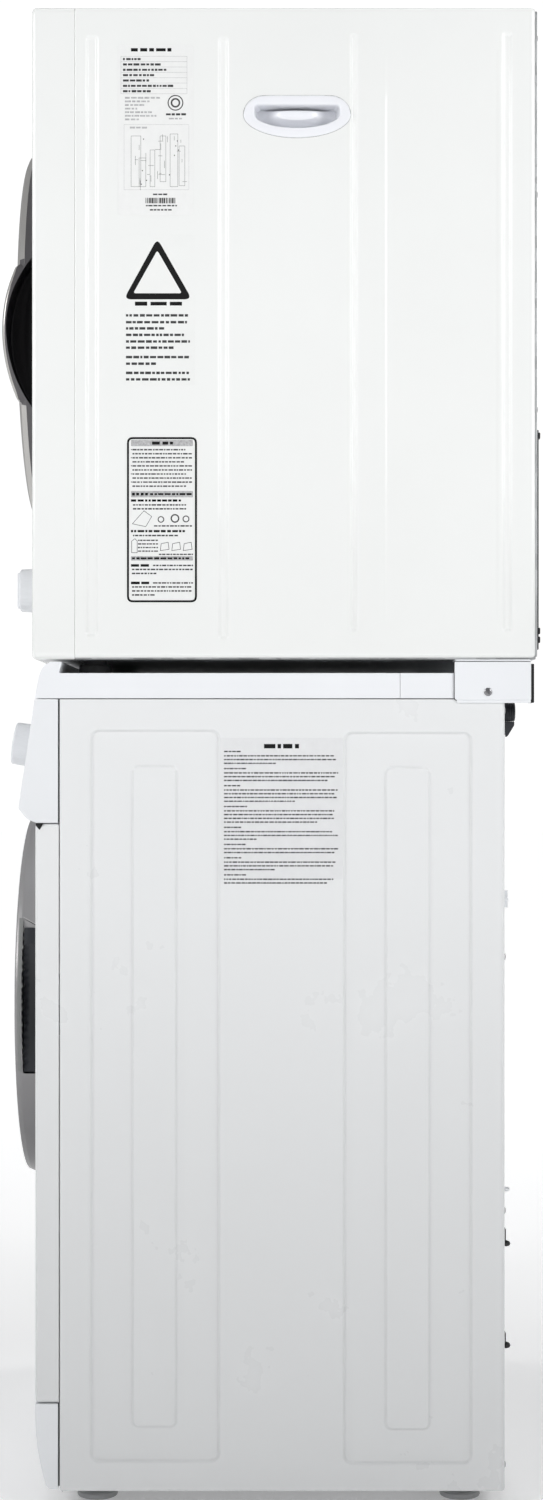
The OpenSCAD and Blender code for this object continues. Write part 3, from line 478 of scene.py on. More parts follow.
class Part:
    def __init__(self):
        self.v, self.f, self.m = [], [], []

    def add(self, verts, faces, m=0, M=None):
        k = len(self.v)
        for p in verts:
            p = Vector(p)
            self.v.append(M @ p if M is not None else p)
        for f in faces:
            self.f.append([i + k for i in f])
            self.m.append(m)
        return self

    def mesh(self, me, m=0, M=None, scale=1000.0):
        return self.add([v.co * scale for v in me.vertices], [list(p.vertices) for p in me.polygons], m, M)

    def loft(self, loops, cap0=True, cap1=True, m=0, M=None, closed=True, ring=False):
        n = len(loops[0])
        verts = [p for lp in loops for p in lp]
        faces = []
        rows = len(loops)
        for j in range(rows if ring else rows - 1):
            a, b = j * n, ((j + 1) % rows) * n
            for i in range(n if closed else n - 1):
                k = (i + 1) % n
                faces.append((a + i, a + k, b + k, b + i))
        if not ring:
            if cap0:
                faces.append(tuple(reversed(range(n))))
            if cap1:
                faces.append(tuple(range((rows - 1) * n, rows * n)))
        return self.add(verts, faces, m, M)

    def prism(self, prof, axis, t0, t1, b=1.0, n=3, m=0, M=None, b1=None, flat=0.0):
        """an outline run along an axis, with both end edges rounded by b; flat adds a margin inside the end faces"""
        b1 = b if b1 is None else b1
        lp = []
        ax = AX[axis]
        if flat:
            lp.append([ax(u, v, t0) for u, v in inset(prof, b + flat)])
        for k in range(n, -1, -1):
            a = math.radians(90 * k / n)
            q = inset(prof, b * (1 - math.cos(a))) if b > 0 else prof
            lp.append([ax(u, v, t0 + b * (1 - math.sin(a))) for u, v in q])
            if b <= 0:
                break
        for k in range(n + 1):
            a = math.radians(90 * k / n)
            q = inset(prof, b1 * (1 - math.cos(a))) if b1 > 0 else prof
            lp.append([ax(u, v, t1 - b1 * (1 - math.sin(a))) for u, v in q])
            if b1 <= 0:
                break
        if flat:
            lp.append([ax(u, v, t1) for u, v in inset(prof, b1 + flat)])
        return self.loft(lp, m=m, M=M)

    def box(self, x0, x1, y0, y1, z0, z1, b=0.0, m=0, M=None, n=2):
        if b <= 0:
            return self.prism([(x0, y0), (x1, y0), (x1, y1), (x0, y1)], "z", z0, z1, 0, 1, m, M)
        return self.prism(rrect(x0, x1, y0, y1, b, n), "z", z0, z1, b * 0.98, n, m, M)

    def frame2(self, outer, inner, axis, t0, t1, b=0.6, m=0, M=None, n=2):
        """a flat ring between two outlines of equal point count, edges rounded by b"""
        ax = AX[axis]
        loops = []

        def side(prof, sgn, lo, hi):
            for k in range(n + 1):
                a = math.radians(90 * k / n)
                q = inset(prof, sgn * b * (1 - math.sin(a)))
                loops.append([ax(u, v, lo + b * (1 - math.cos(a)) if lo < hi else lo - b * (1 - math.cos(a))) for u, v in q])

        def back(prof, sgn, t, d):
            for k in range(n + 1):
                a = math.radians(90 * k / n)
                q = inset(prof, sgn * b * (1 - math.cos(a)))
                loops.append([ax(u, v, t + d * b * (1 - math.sin(a))) for u, v in q])
        side(outer, 1, t0, t1)
        back(outer, 1, t1, -1)
        side(inner, -1, t1, t0)
        back(inner, -1, t0, 1)
        return self.loft(loops, ring=True, m=m, M=M)

    def lathe(self, prof, cx=0.0, cz=0.0, n=96, axis="y", m=0, M=None, a0=0.0, a1=360.0, wob=None):
        """revolves a closed (radius, height) outline, or an open one whose ends are on the axis"""
        full = abs(a1 - a0) > 359.9
        cnt = n if full else n + 1
        open_ = prof[0][0] < 1e-6 and prof[-1][0] < 1e-6
        pts = prof[1:-1] if open_ else prof
        verts, faces = [], []
        for i in range(cnt):
            a = math.radians(a0 + (a1 - a0) * i / n)
            for j, (r, y) in enumerate(pts):
                if wob:
                    r, y = wob(a, r, y, j)
                p = {"y": (cx + r * math.cos(a), y, cz + r * math.sin(a)), "z": (cx + r * math.cos(a), cz + r * math.sin(a), y),
                     "x": (y, cx + r * math.cos(a), cz + r * math.sin(a))}[axis]
                verts.append(p)
        k = len(pts)
        for i in range(cnt if full else cnt - 1):
            a, b = i * k, ((i + 1) % cnt) * k
            for j in range(k - 1 if open_ else k):
                j2 = (j + 1) % k
                faces.append((a + j, a + j2, b + j2, b + j))
        if open_ and full:
            for end, row in ((prof[0], 0), (prof[-1], k - 1)):
                p = {"y": (cx, end[1], cz), "z": (cx, cz, end[1]), "x": (end[1], cx, cz)}[axis]
                verts.append(p)
                c = len(verts) - 1
                for i in range(cnt):
                    faces.append((c, i * k + row, ((i + 1) % cnt) * k + row))
        if not full and not open_:
            faces.append(tuple(range(k)))
            faces.append(tuple(reversed(range((cnt - 1) * k, cnt * k))))
        return self.add(verts, faces, m, M)

    def tube(self, path, r, n=10, m=0, M=None):
        """a round bar along a list of points"""
        P = [Vector(p) for p in path]
        loops = []
        up = Vector((0, 0, 1))
        for i, p in enumerate(P):
            t = (P[min(i + 1, len(P) - 1)] - P[max(i - 1, 0)]).normalized()
            if abs(t.dot(up)) > 0.95:
                up = Vector((1, 0, 0))
            s = t.cross(up).normalized()
            u = s.cross(t).normalized()
            up = u
            loops.append([tuple(p + s * r * math.cos(2 * math.pi * k / n) + u * r * math.sin(2 * math.pi * k / n)) for k in range(n)])
        return self.loft(loops, m=m, M=M)

    def bm(self, weld=1e-6):
        b = bmesh.new()
        vs = [b.verts.new(p * MM) for p in self.v]
        b.verts.ensure_lookup_table()
        for f, mi in zip(self.f, self.m):
            ids = []
            for i in f:
                if not ids or ids[-1] != i:
                    ids.append(i)
            try:
                fa = b.faces.new([vs[i] for i in ids])
                fa.material_index = mi
            except ValueError:
                pass
        if weld:
            bmesh.ops.remove_doubles(b, verts=b.verts, dist=weld)
        bmesh.ops.dissolve_degenerate(b, dist=1e-7, edges=b.edges)
        bmesh.ops.recalc_face_normals(b, faces=b.faces)
        return b


def set_shading(b, sharp):
    lim = math.radians(sharp)
    for e in b.edges:
        e.smooth = not (len(e.link_faces) == 2 and e.calc_face_angle(0.0) > lim)
    for f in b.faces:
        f.smooth = True


def emit(part, name, mats, body="cabinets", replaces=(), sharp=34, thick=None, edge=None):
    """turns a part into a scene object that rides on a body"""
    b = part.bm() if isinstance(part, Part) else part
    set_shading(b, sharp)
    me = bpy.data.meshes.new(name)
    b.to_mesh(me)
    b.free()
    mats = mats if isinstance(mats, (list, tuple)) else [mats]
    for mt in mats:
        me.materials.append(mt.m)
    ob = bpy.data.objects.new(name, me)
    SCENE.collection.objects.link(ob)
    if thick:
        so = ob.modifiers.new("sheet", "SOLIDIFY")
        so.thickness = thick * MM
        so.offset = -1.0
        so.use_even_offset = True
    if edge:
        be = ob.modifiers.new("edge", "BEVEL")
        be.width = edge * MM
        be.segments = 2
        be.limit_method = "ANGLE"
        be.angle_limit = math.radians(40)
    wn = ob.modifiers.new("normals", "WEIGHTED_NORMAL")
    wn.keep_sharp = True
    wn.weight = 60
    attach(ob, body)
    if replaces:
        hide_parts(*replaces)
    return ob


def solid(part):
    """a bare object used in a boolean"""
    b = part.bm()
    me = bpy.data.meshes.new("tmp")
    b.to_mesh(me)
    b.free()
    ob = bpy.data.objects.new("tmp", me)
    SCENE.collection.objects.link(ob)
    return ob


def carve(base, cuts, adds=()):
    """base minus cuts (and plus adds) as a bmesh"""
    ob = solid(base)
    tools = []
    for op, group in (("UNION", adds), ("DIFFERENCE", cuts)):
        for c in group:
            t = solid(c)
            tools.append(t)
            md = ob.modifiers.new("b", "BOOLEAN")
            md.operation = op
            md.solver = "EXACT"
            md.object = t
    bpy.context.view_layer.update()
    dg = bpy.context.evaluated_depsgraph_get()
    b = bmesh.new()
    b.from_object(ob, dg)
    for o in [ob] + tools:
        me = o.data
        bpy.data.objects.remove(o)
        bpy.data.meshes.remove(me)
    bmesh.ops.remove_doubles(b, verts=b.verts, dist=2e-6)
    bmesh.ops.dissolve_degenerate(b, dist=1e-6, edges=b.edges)
    return b


def round_edges(b, width, pick=None, angle=40, n=2):
    """bevels the sharp edges of a bmesh, all of them or those picked"""
    lim = math.radians(angle)
    ed = [e for e in b.edges if len(e.link_faces) == 2 and e.calc_face_angle(0.0) > lim and (pick is None or pick(e))]
    if ed:
        bmesh.ops.bevel(b, geom=ed, offset=width * MM, offset_type="OFFSET", segments=n, profile=0.5, affect="EDGES", clamp_overlap=True)
    return b


FA = math.radians(81.45)


def on_fascia(x, z):
    return Matrix.Translation((x, -236.4 - (823.5 - z) * 0.15027, z)) @ Matrix.Rotation(FA, 4, "X")


def axis_to(p, d):
    """a matrix whose local +Z points along d at p"""
    return Matrix.Translation(p) @ Vector(d).to_track_quat("Z", "Y").to_matrix().to_4x4()


def smooth(t):
    t = max(0.0, min(1.0, t))
    return t * t * (3 - 2 * t)


def sd_rr(u, v, r4, rad):
    """signed distance to a rectangle with rounded corners, negative inside"""
    a0, a1, b0, b1 = r4
    qx = abs(u - (a0 + a1) / 2) - (a1 - a0) / 2 + rad
    qz = abs(v - (b0 + b1) / 2) - (b1 - b0) / 2 + rad
    return math.hypot(max(qx, 0), max(qz, 0)) + min(max(qx, qz), 0) - rad


def lines(lo, hi, marks, span, step, coarse):
    """grid positions from lo to hi: close near each mark, coarse elsewhere"""
    s = {round(lo, 3), round(hi, 3)}
    for mk in marks:
        k = int(span / step)
        for i in range(-k, k + 1):
            p = mk + i * step
            if lo < p < hi:
                s.add(round(p, 3))
    s = sorted(s)
    out = [s[0]]
    for p in s[1:]:
        gap = p - out[-1]
        if gap > coarse:
            c = int(math.ceil(gap / coarse))
            q = out[-1]
            out += [q + gap * i / c for i in range(1, c)]
        if p - out[-1] > step * 0.35:
            out.append(p)
    out[-1] = hi
    return out


# ------------------------------------------------------------------ pressed sheet-metal wrappers

HW, HD = 298.0, 300.0
WZ, DZ = 496.0, 1238.0


def wrapper(path, rows, relief, hole=lambda tag, a, b: False):
    """a folded sheet: path is [(u, w, nu, nw, tag, a)], rows is [(t, inset, b)]; relief(tag, a, b) is a depth along the normal"""
    P = Part()
    n = len(path)
    verts, faces = [], []
    for (t, ins, b) in rows:
        for (p, nrm, tag, a) in path:
            d = ins + relief(tag, a, b)
            verts.append((p, nrm, t, d))
    for j in range(len(rows) - 1):
        for i in range(n - 1):
            tag = path[i][2] if path[i][2] == path[i + 1][2] else None
            if tag and hole(tag, (path[i][3] + path[i + 1][3]) / 2, (rows[j][2] + rows[j + 1][2]) / 2):
                continue
            faces.append((j * n + i, j * n + i + 1, (j + 1) * n + i + 1, (j + 1) * n + i))
    return verts, faces


def bend(cx, cz, r, a0, a1, n=5):
    out = []
    for i in range(n + 1):
        a = math.radians(a0 + (a1 - a0) * i / n)
        out.append(((cx + r * math.cos(a), cz + r * math.sin(a)), (math.cos(a), math.sin(a)), None, 0))
    return out


# washer: outline in X,Y, rows in Z
REC = [(-179, -48.6, 47, 791.3), (79, 208.5, 45, 789)]
BEAD = [(-136.4, -92.3, 82, 754.9), (121.7, 165.7, 79.4, 753.3)]


def washer_relief(tag, a, b):
    if tag not in ("R", "L"):
        if tag == "B":
            d = 0.0
            for r4 in ((-150, 150, 625, 780), (-190, -30, 110, 575), (30, 190, 110, 575)):
                d += 0.0
            return d
        return 0.0
    d = 0.0
    for rc, bd in zip(REC, BEAD):
        s = sd_rr(a, b, rc, 8)
        if s < 4:
            d += 3.0 * smooth((1.5 - s) / 3.0)
        s = sd_rr(a, b, bd, 6)
        if s < 4:
            d -= 2.5 * smooth((1.4 - s) / 2.8)
    return d


def washer_shell():
    ys = lines(-207.5, 237, [-179, -48.6, 79, 208.5, -136.4, -92.3, 121.7, 165.7], 9.0, 0.75, 26)
    zs = lines(19, 823.0, [45, 47, 790.2, 81, 754], 11.0, 0.75, 30)
    xb = sorted(set([round(-292 + 584 * i / 24, 2) for i in range(25)] + [-205.0, 205.0]))
    path = []
    path.append(((284, -211.0), (0, -1), None, 0))
    path += bend(296.2, -209.2, 1.8, -90, 0, 4)
    path += [((HW, y), (1, 0), "R", y) for y in ys]
    path += bend(293, 238, 5, 0, 90, 6)
    path += [((x, 243.0), (0, 1), "B", x) for x in reversed(xb)]
    path += bend(-293, 238, 5, 90, 180, 6)
    path += [((-HW, y), (-1, 0), "L", y) for y in reversed(ys)]
    path += bend(-296.2, -209.2, 1.8, 180, 270, 4)
    path.append(((-284, -211.0), (0, -1), None, 0))
    rows = [(16.0, 3.4, 0), (16.1, 2.2, 0), (16.5, 1.0, 0), (17.4, 0.25, 0)] + [(z, 0.0, z) for z in zs] + [(823.4, 0.3, 0)]
    verts, faces = wrapper(path, rows, washer_relief,
                           lambda tag, a, b: tag == "B" and abs(a) < 205 and (95 < b < 590 or 615 < b < 790))
    P = Part()
    P.add([(p[0] - nn[0] * d, p[1] - nn[1] * d, t) for (p, nn, t, d) in verts], faces)
    return emit(P, "washer_shell", WASH, "cabinets", ["washer_cabinet"], 50, thick=1.1)


# dryer: outline in X,Z, rows in Y
RIBS = [(-183.4, -172.2, 888, 1498), (-48.6, -39.4, 885, 1496), (85.6, 91.6, 893, 1500), (240.6, 249.2, 893, 1502)]
PLATEAU = (121.6, 235.6, 893, 1491)


def dryer_relief(tag, a, b):
    if tag not in ("R", "L"):
        return 0.0
    d = 0.0
    for rb in RIBS:
        s = sd_rr(b, a, rb, 2.9)
        if s < 3:
            d += 2.3 * smooth((1.1 - s) / 3.6)
    s = sd_rr(b, a, PLATEAU, 12)
    if s < 9:
        # the plateau fades out at its ends
        e = smooth((a - 893) / 60.0) * smooth((1491 - a) / 60.0)
        d += 0.75 * e * smooth((1.6 - s) / 3.4)
    return d


GRIP_D = [(31, 1437, 108.6, 42), (31, 1427.6, 87, 22.6)]


def in_grip(y, z):
    """inside the hole for the grip's cup"""
    u, w, h, zt = abs(y - 31), 97.0, 33.0, 1432.6
    zc = zt - 0.45 * h
    if z > zc:
        return z < zt and (u < 0.3 * w or ((u - 0.3 * w) / (0.2 * w)) ** 2 + ((z - zc) / (0.45 * h)) ** 2 < 1)
    return (u / (w / 2)) ** 2 + ((zc - z) / (0.55 * h)) ** 2 < 1


def dryer_shell():
    zs = lines(870, 1521, [888, 1497, 893, 1493], 9.5, 1.0, 34)
    zs = sorted(set([z for z in zs if not 1392 < z < 1440] + [1392 + 2.0 * i for i in range(25)]))
    ys = lines(-194.0, 269.0, [r[k] for r in RIBS for k in (0, 1)] + [121.6, 235.6], 6.5, 0.8, 15)
    ys = sorted(set([y for y in ys if not -26 < y < 84] + [-26 + 2.5 * i for i in range(45)]))
    path = [((284, 864.6), (0, -1), None, 0)]
    path += bend(295, 869.6, 5, -90, 0, 6)
    path += [((HD, z), (1, 0), "R", z) for z in zs]
    path += bend(295.5, 1523.45, 4.5, 0, 90, 7)
    path += [((x, 1527.95), (0, 1), "T", x) for x in [290 - 580 * i / 14 for i in range(15)]]
    path += bend(-295.5, 1523.45, 4.5, 90, 180, 7)
    path += [((-HD, z), (-1, 0), "L", z) for z in reversed(zs)]
    path += bend(-295, 869.6, 5, 180, 270, 6)
    path.append(((-284, 864.6), (0, -1), None, 0))
    rows = [(-195.3, 2.2, 0), (-195.25, 0.7, 0), (-195.1, 0.25, 0), (-194.6, 0.0, 0)] + [(y, 0.0, y) for y in ys]
    rows += [(271.0, 0.3, 0), (272.6, 1.0, 0), (273.6, 2.2, 0), (274.0, 3.8, 0)]
    verts, faces = wrapper(path, rows, lambda tag, a, b: dryer_relief(tag, a, b) if b else 0.0,
                           lambda tag, a, b: tag in ("R", "L") and b != 0 and in_grip(b, a))
    P = Part()
    P.add([(p[0] - nn[0] * d, t, p[1] - nn[1] * d) for (p, nn, t, d) in verts], faces)
    ob = emit(P, "dryer_shell", [DRY, DRY_TOP_SHADED], "cabinets", ["dryer_cabinet"], 50, thick=1.1)
    # the top faces take the darker top enamel: painted shade on the top
    for p in ob.data.polygons:
        if p.normal.z > 0.96 and p.center.z > 1.5:
            p.material_index = 1
    return ob


# ------------------------------------------------------------------ front panels

def holed_front(name, half, z0, z1, yb, yf, r_edge, hole_r, hz, mat, steps, replaces, lip=10.0, n=160):
    """a folded front with a round opening: side wall, rounded edge, flat face, rolled-in mouth"""
    def rect(ins):
        return half - ins, z0 + ins, z1 - ins

    def point(a, ins, rad):
        w, lo, hi = rect(ins)
        dx, dz = math.cos(a), math.sin(a)
        cz = (lo + hi) / 2
        # walk a ray from the opening's centre to the rounded rectangle
        t0, t1 = 0.0, 2000.0
        for _ in range(40):
            t = (t0 + t1) / 2
            if sd_rr(dx * t, hz + dz * t, (-w, w, lo, hi), rad) < 0:
                t0 = t
            else:
                t1 = t
        return (dx * t0, hz + dz * t0)

    angs = []
    corners = [math.atan2(zz - hz, xx) % (2 * math.pi) for xx in (-half, half) for zz in (z0, z1)]
    base = [2 * math.pi * i / n for i in range(n)]
    for c in corners:
        base += [c + d for d in (-0.03, -0.022, -0.016, -0.011, -0.006, 0.0, 0.006, 0.011, 0.016, 0.022, 0.03)]
    for a in sorted(x % (2 * math.pi) for x in base):
        if not angs or a - angs[-1] > 0.0035:
            angs.append(a)
    loops = []

    def ring(ins, y, rad):
        loops.append([(*[point(a, ins, rad)[0]], y, point(a, ins, rad)[1]) for a in angs])

    rc = 5.0
    ring(2.2, yb + 0.05, rc)
    ring(0.7, yb, rc)
    ring(0.2, yb - 0.2, rc)
    ring(0.0, yb - 0.8, rc)
    for k in range(6):
        t = math.radians(90 * k / 5)
        ring(r_edge * (1 - math.cos(t)), yf + r_edge * (1 - math.sin(t)), rc)
    for r, y in steps:
        if r is None:
            continue
        loops.append([(r * math.cos(a), y, hz + r * math.sin(a)) for a in angs])
    P = Part()
    P.loft(loops, cap0=False, cap1=False)
    return emit(P, name, mat, "cabinets", replaces, 40, thick=1.1)


def washer_front():
    s = [(216, -235.8), (214.5, -235.6), (211.5, -234.2), (208.5, -232.5), (206.5, -231.8), (190, -231.8), (172, -231.8), (169, -231.2), (167.3, -229.4), (166.7, -226), (166.7, -222)]
    holed_front("washer_front", HW, 105.8, 696.6, -211.7, -235.8, 3.0, 166.7, WZ, WASH, s, ["washer_front_panel"])


def dryer_front():
    s = [(219, -239.0), (217.5, -238.9), (215.5, -238.2), (213.5, -237.4), (211, -237.1), (190, -237.1), (168, -237.1), (165, -236.5), (163.6, -235), (163.2, -232), (163.2, -226)]
    holed_front("dryer_front", HD, 864.0, 1527.95, -195.35, -239.0, 4.0, 163.2, DZ, DRY, s, ["dryer_front_panel"])


# ------------------------------------------------------------------ washer worktop, fascia, kick panel

F_OUT = [(-236.4, 823.6, 0.7), (-252.9, 713.2, 1.4), (-252.3, 711, 1.0), (-245.2, 702.4, 1.5), (-242.6, 700.4, 1.0), (-234.3, 697.3, 1.5), (-212.6, 697.3, 0.8), (-212.6, 823.6, 0.8)]
K_OUT = [(-236, 105.2, 0.7), (-235.6, 90, 30), (-235, 74.3, 30), (-233.4, 60, 30), (-231, 47, 30), (-228.2, 34, 30), (-225, 22.4, 2), (-221.5, 18.5, 2), (-212.6, 18.3, 0.7), (-212.6, 105.2, 0.7)]


def worktop():
    lip = [(-236.2, 824.2, 0.9), (-232.2, 846.4, 8), (-229.6, 853.6, 8), (-225.6, 858.8, 5), (-220.5, 861.4, 3), (-208.2, 861.6, 1.2), (-211.4, 851.2, 0.8), (-210.2, 850, 0.5)]
    P = Part()
    P.prism(fillet(lip + [(135.9, 850, 0.6), (135.9, 824.2, 0.6)], 1.0, 3), "x", -HW, HW, 0.45, 2)
    P.prism(fillet([(136.2, 824.2, 0.6), (136.2, 850, 0.6), (243, 850, 3), (246.5, 846, 2.5), (246.5, 824.2, 1.0)], 1.0, 3), "x", -HW, HW, 0.45, 2)
    # hold-down clips and the moulded ribs seen from behind
    for x in range(-250, 251, 100):
        P.box(x - 14, x + 14, 241, 245.5, 814.5, 824.6, 0.8)
    return emit(P, "worktop", TOP, "cabinets", ["washer_worktop"], 34)


def fascia():
    base = Part().prism(fillet(F_OUT, 1.5, 4), "x", -HW, HW, 0.6, 3)
    cuts = []
    c = Part()
    c.prism(rrect(-284.2, -105.8, 723.8, 808.2, 6, 5), "y", -280, -214.8, 0)
    cuts.append(c)
    cuts.append(Part().prism(circle(26.2, 72), "z", -1.2, 20, 0, M=on_fascia(170, 775)))
    for x in (20, 80):
        cuts.append(Part().prism(circle(10.2, 48), "z", -7.5, 12, 0, M=on_fascia(x, 748)))
    cuts.append(Part().prism(rrect(-49.5, 49.5, -12.5, 12.5, 4, 5), "z", -1.6, 12, 0, M=on_fascia(50, 785)))
    b = carve(base, cuts)
    round_edges(b, 0.5, lambda e: all(v.co.z > 0.7 for v in e.verts) and max(v.co.y for v in e.verts) < -0.2138, 50, 2)
    emit(b, "fascia", PLA, "cabinets", ["washer_fascia"], 30)
    # near-black strips deep in the gaps between the fascia and the side panel, and between the kick panel and the side
    # panel: painted shade in the gaps
    g = Part()
    for s in (-1, 1):
        x0, x1 = sorted((s * 284.5, s * 294.6))
        g.box(x0, x1, -212.5, -211.1, 698.4, 823.4, 0.2)
        g.box(x0, x1, -212.5, -211.1, 21, 105.0, 0.2)
        # the corner buffers under the fascia
        g.prism(fillet([(-235.2, 697.0, 0.4), (-227.4, 697.0, 0.5), (-231.2, 690.0, 0.8), (-234.8, 694.2, 0.6)], 0.5, 3), "x", *sorted((s * 296.0, s * 298.25)), 0.2, 2)
    emit(g, "front_gap_shade_and_buffers", DARK_TRIM_SHADE, "cabinets", ())
    # display window with a clear bar graph behind it
    d = Part()
    d.prism(rrect(-48.6, 48.6, -11.6, 11.6, 3.4, 5), "z", -1.5, 0.2, 0.5, 2, 0, on_fascia(50, 785))
    for k in range(5):
        d.box(-36 + k * 12, -28 + k * 12, -2.2, 2.2, 0.15, 0.28, 0, 1, on_fascia(50, 785))
    for k in range(3):
        d.lathe([(0, 0.15), (1.2, 0.15), (1.2, 0.3), (0, 0.3)], 30 + k * 6, 0, 16, "z", 1, on_fascia(50, 785))
    emit(d, "display_window", [BLACK, INK_LIGHT_AND_SHADOW_LINE], "cabinets", ())
    # dial marks round the programme knob, and lamp dots by the buttons
    t = Part()
    for k in range(16):
        a = math.radians(360 * k / 16)
        M = on_fascia(170, 775) @ Matrix.Rotation(a, 4, "Z")
        if k % 4 == 0:
            t.box(29.4, 33.2, -0.8, 0.8, -0.02, 0.07, 0, 0, M)
        else:
            t.box(29.4, 31.6, -0.45, 0.45, -0.02, 0.07, 0, 0, M)
    for x in (20, 80):
        t.box(-7, 7, -15.6, -14.4, -0.02, 0.07, 0, 0, on_fascia(x, 748))
    for k in range(4):
        t.box(-2, 12, 8 - k * 6.4, 9.2 - k * 6.4, -0.02, 0.07, 0, 0, on_fascia(208, 772))
    emit(t, "fascia_marks", INKG, "cabinets", ())


def kick():
    base = Part().prism(fillet(K_OUT, 1.2, 4), "x", -HW, HW, 0.6, 3)
    c = Part().prism(rrect(173.6, 266.4, 30.0, 93.0, 3, 4), "y", -260, -215.0, 0)
    b = carve(base, [c])
    round_edges(b, 0.5, lambda e: all(0.17 < v.co.x < 0.27 and v.co.y < -0.2155 for v in e.verts), 50, 2)
    emit(b, "kick_plate", PLA, "cabinets", ["kick_panel"], 30)
    f = Part().prism(fillet([(-235.7, 92.0, 1), (-235.4, 74.3), (-233.8, 60), (-231.4, 47), (-228.9, 36, 1), (-228.2, 31.9, 0.8), (-225.0, 31.9, 0.8), (-227.6, 47), (-230.0, 60), (-231.6, 74.3), (-232.0, 92.0, 0.8)], 0.8, 3), "x", 174.8, 265.2, 1.0, 3)
    b = carve(f, [Part().prism(rrect(207, 233, 83.5, 96, 4, 5), "y", -240, -234.0, 0)])
    emit(b, "service_flap", PLA, "filter_flap", ["filter_flap"], 30)


# ------------------------------------------------------------------ washer door

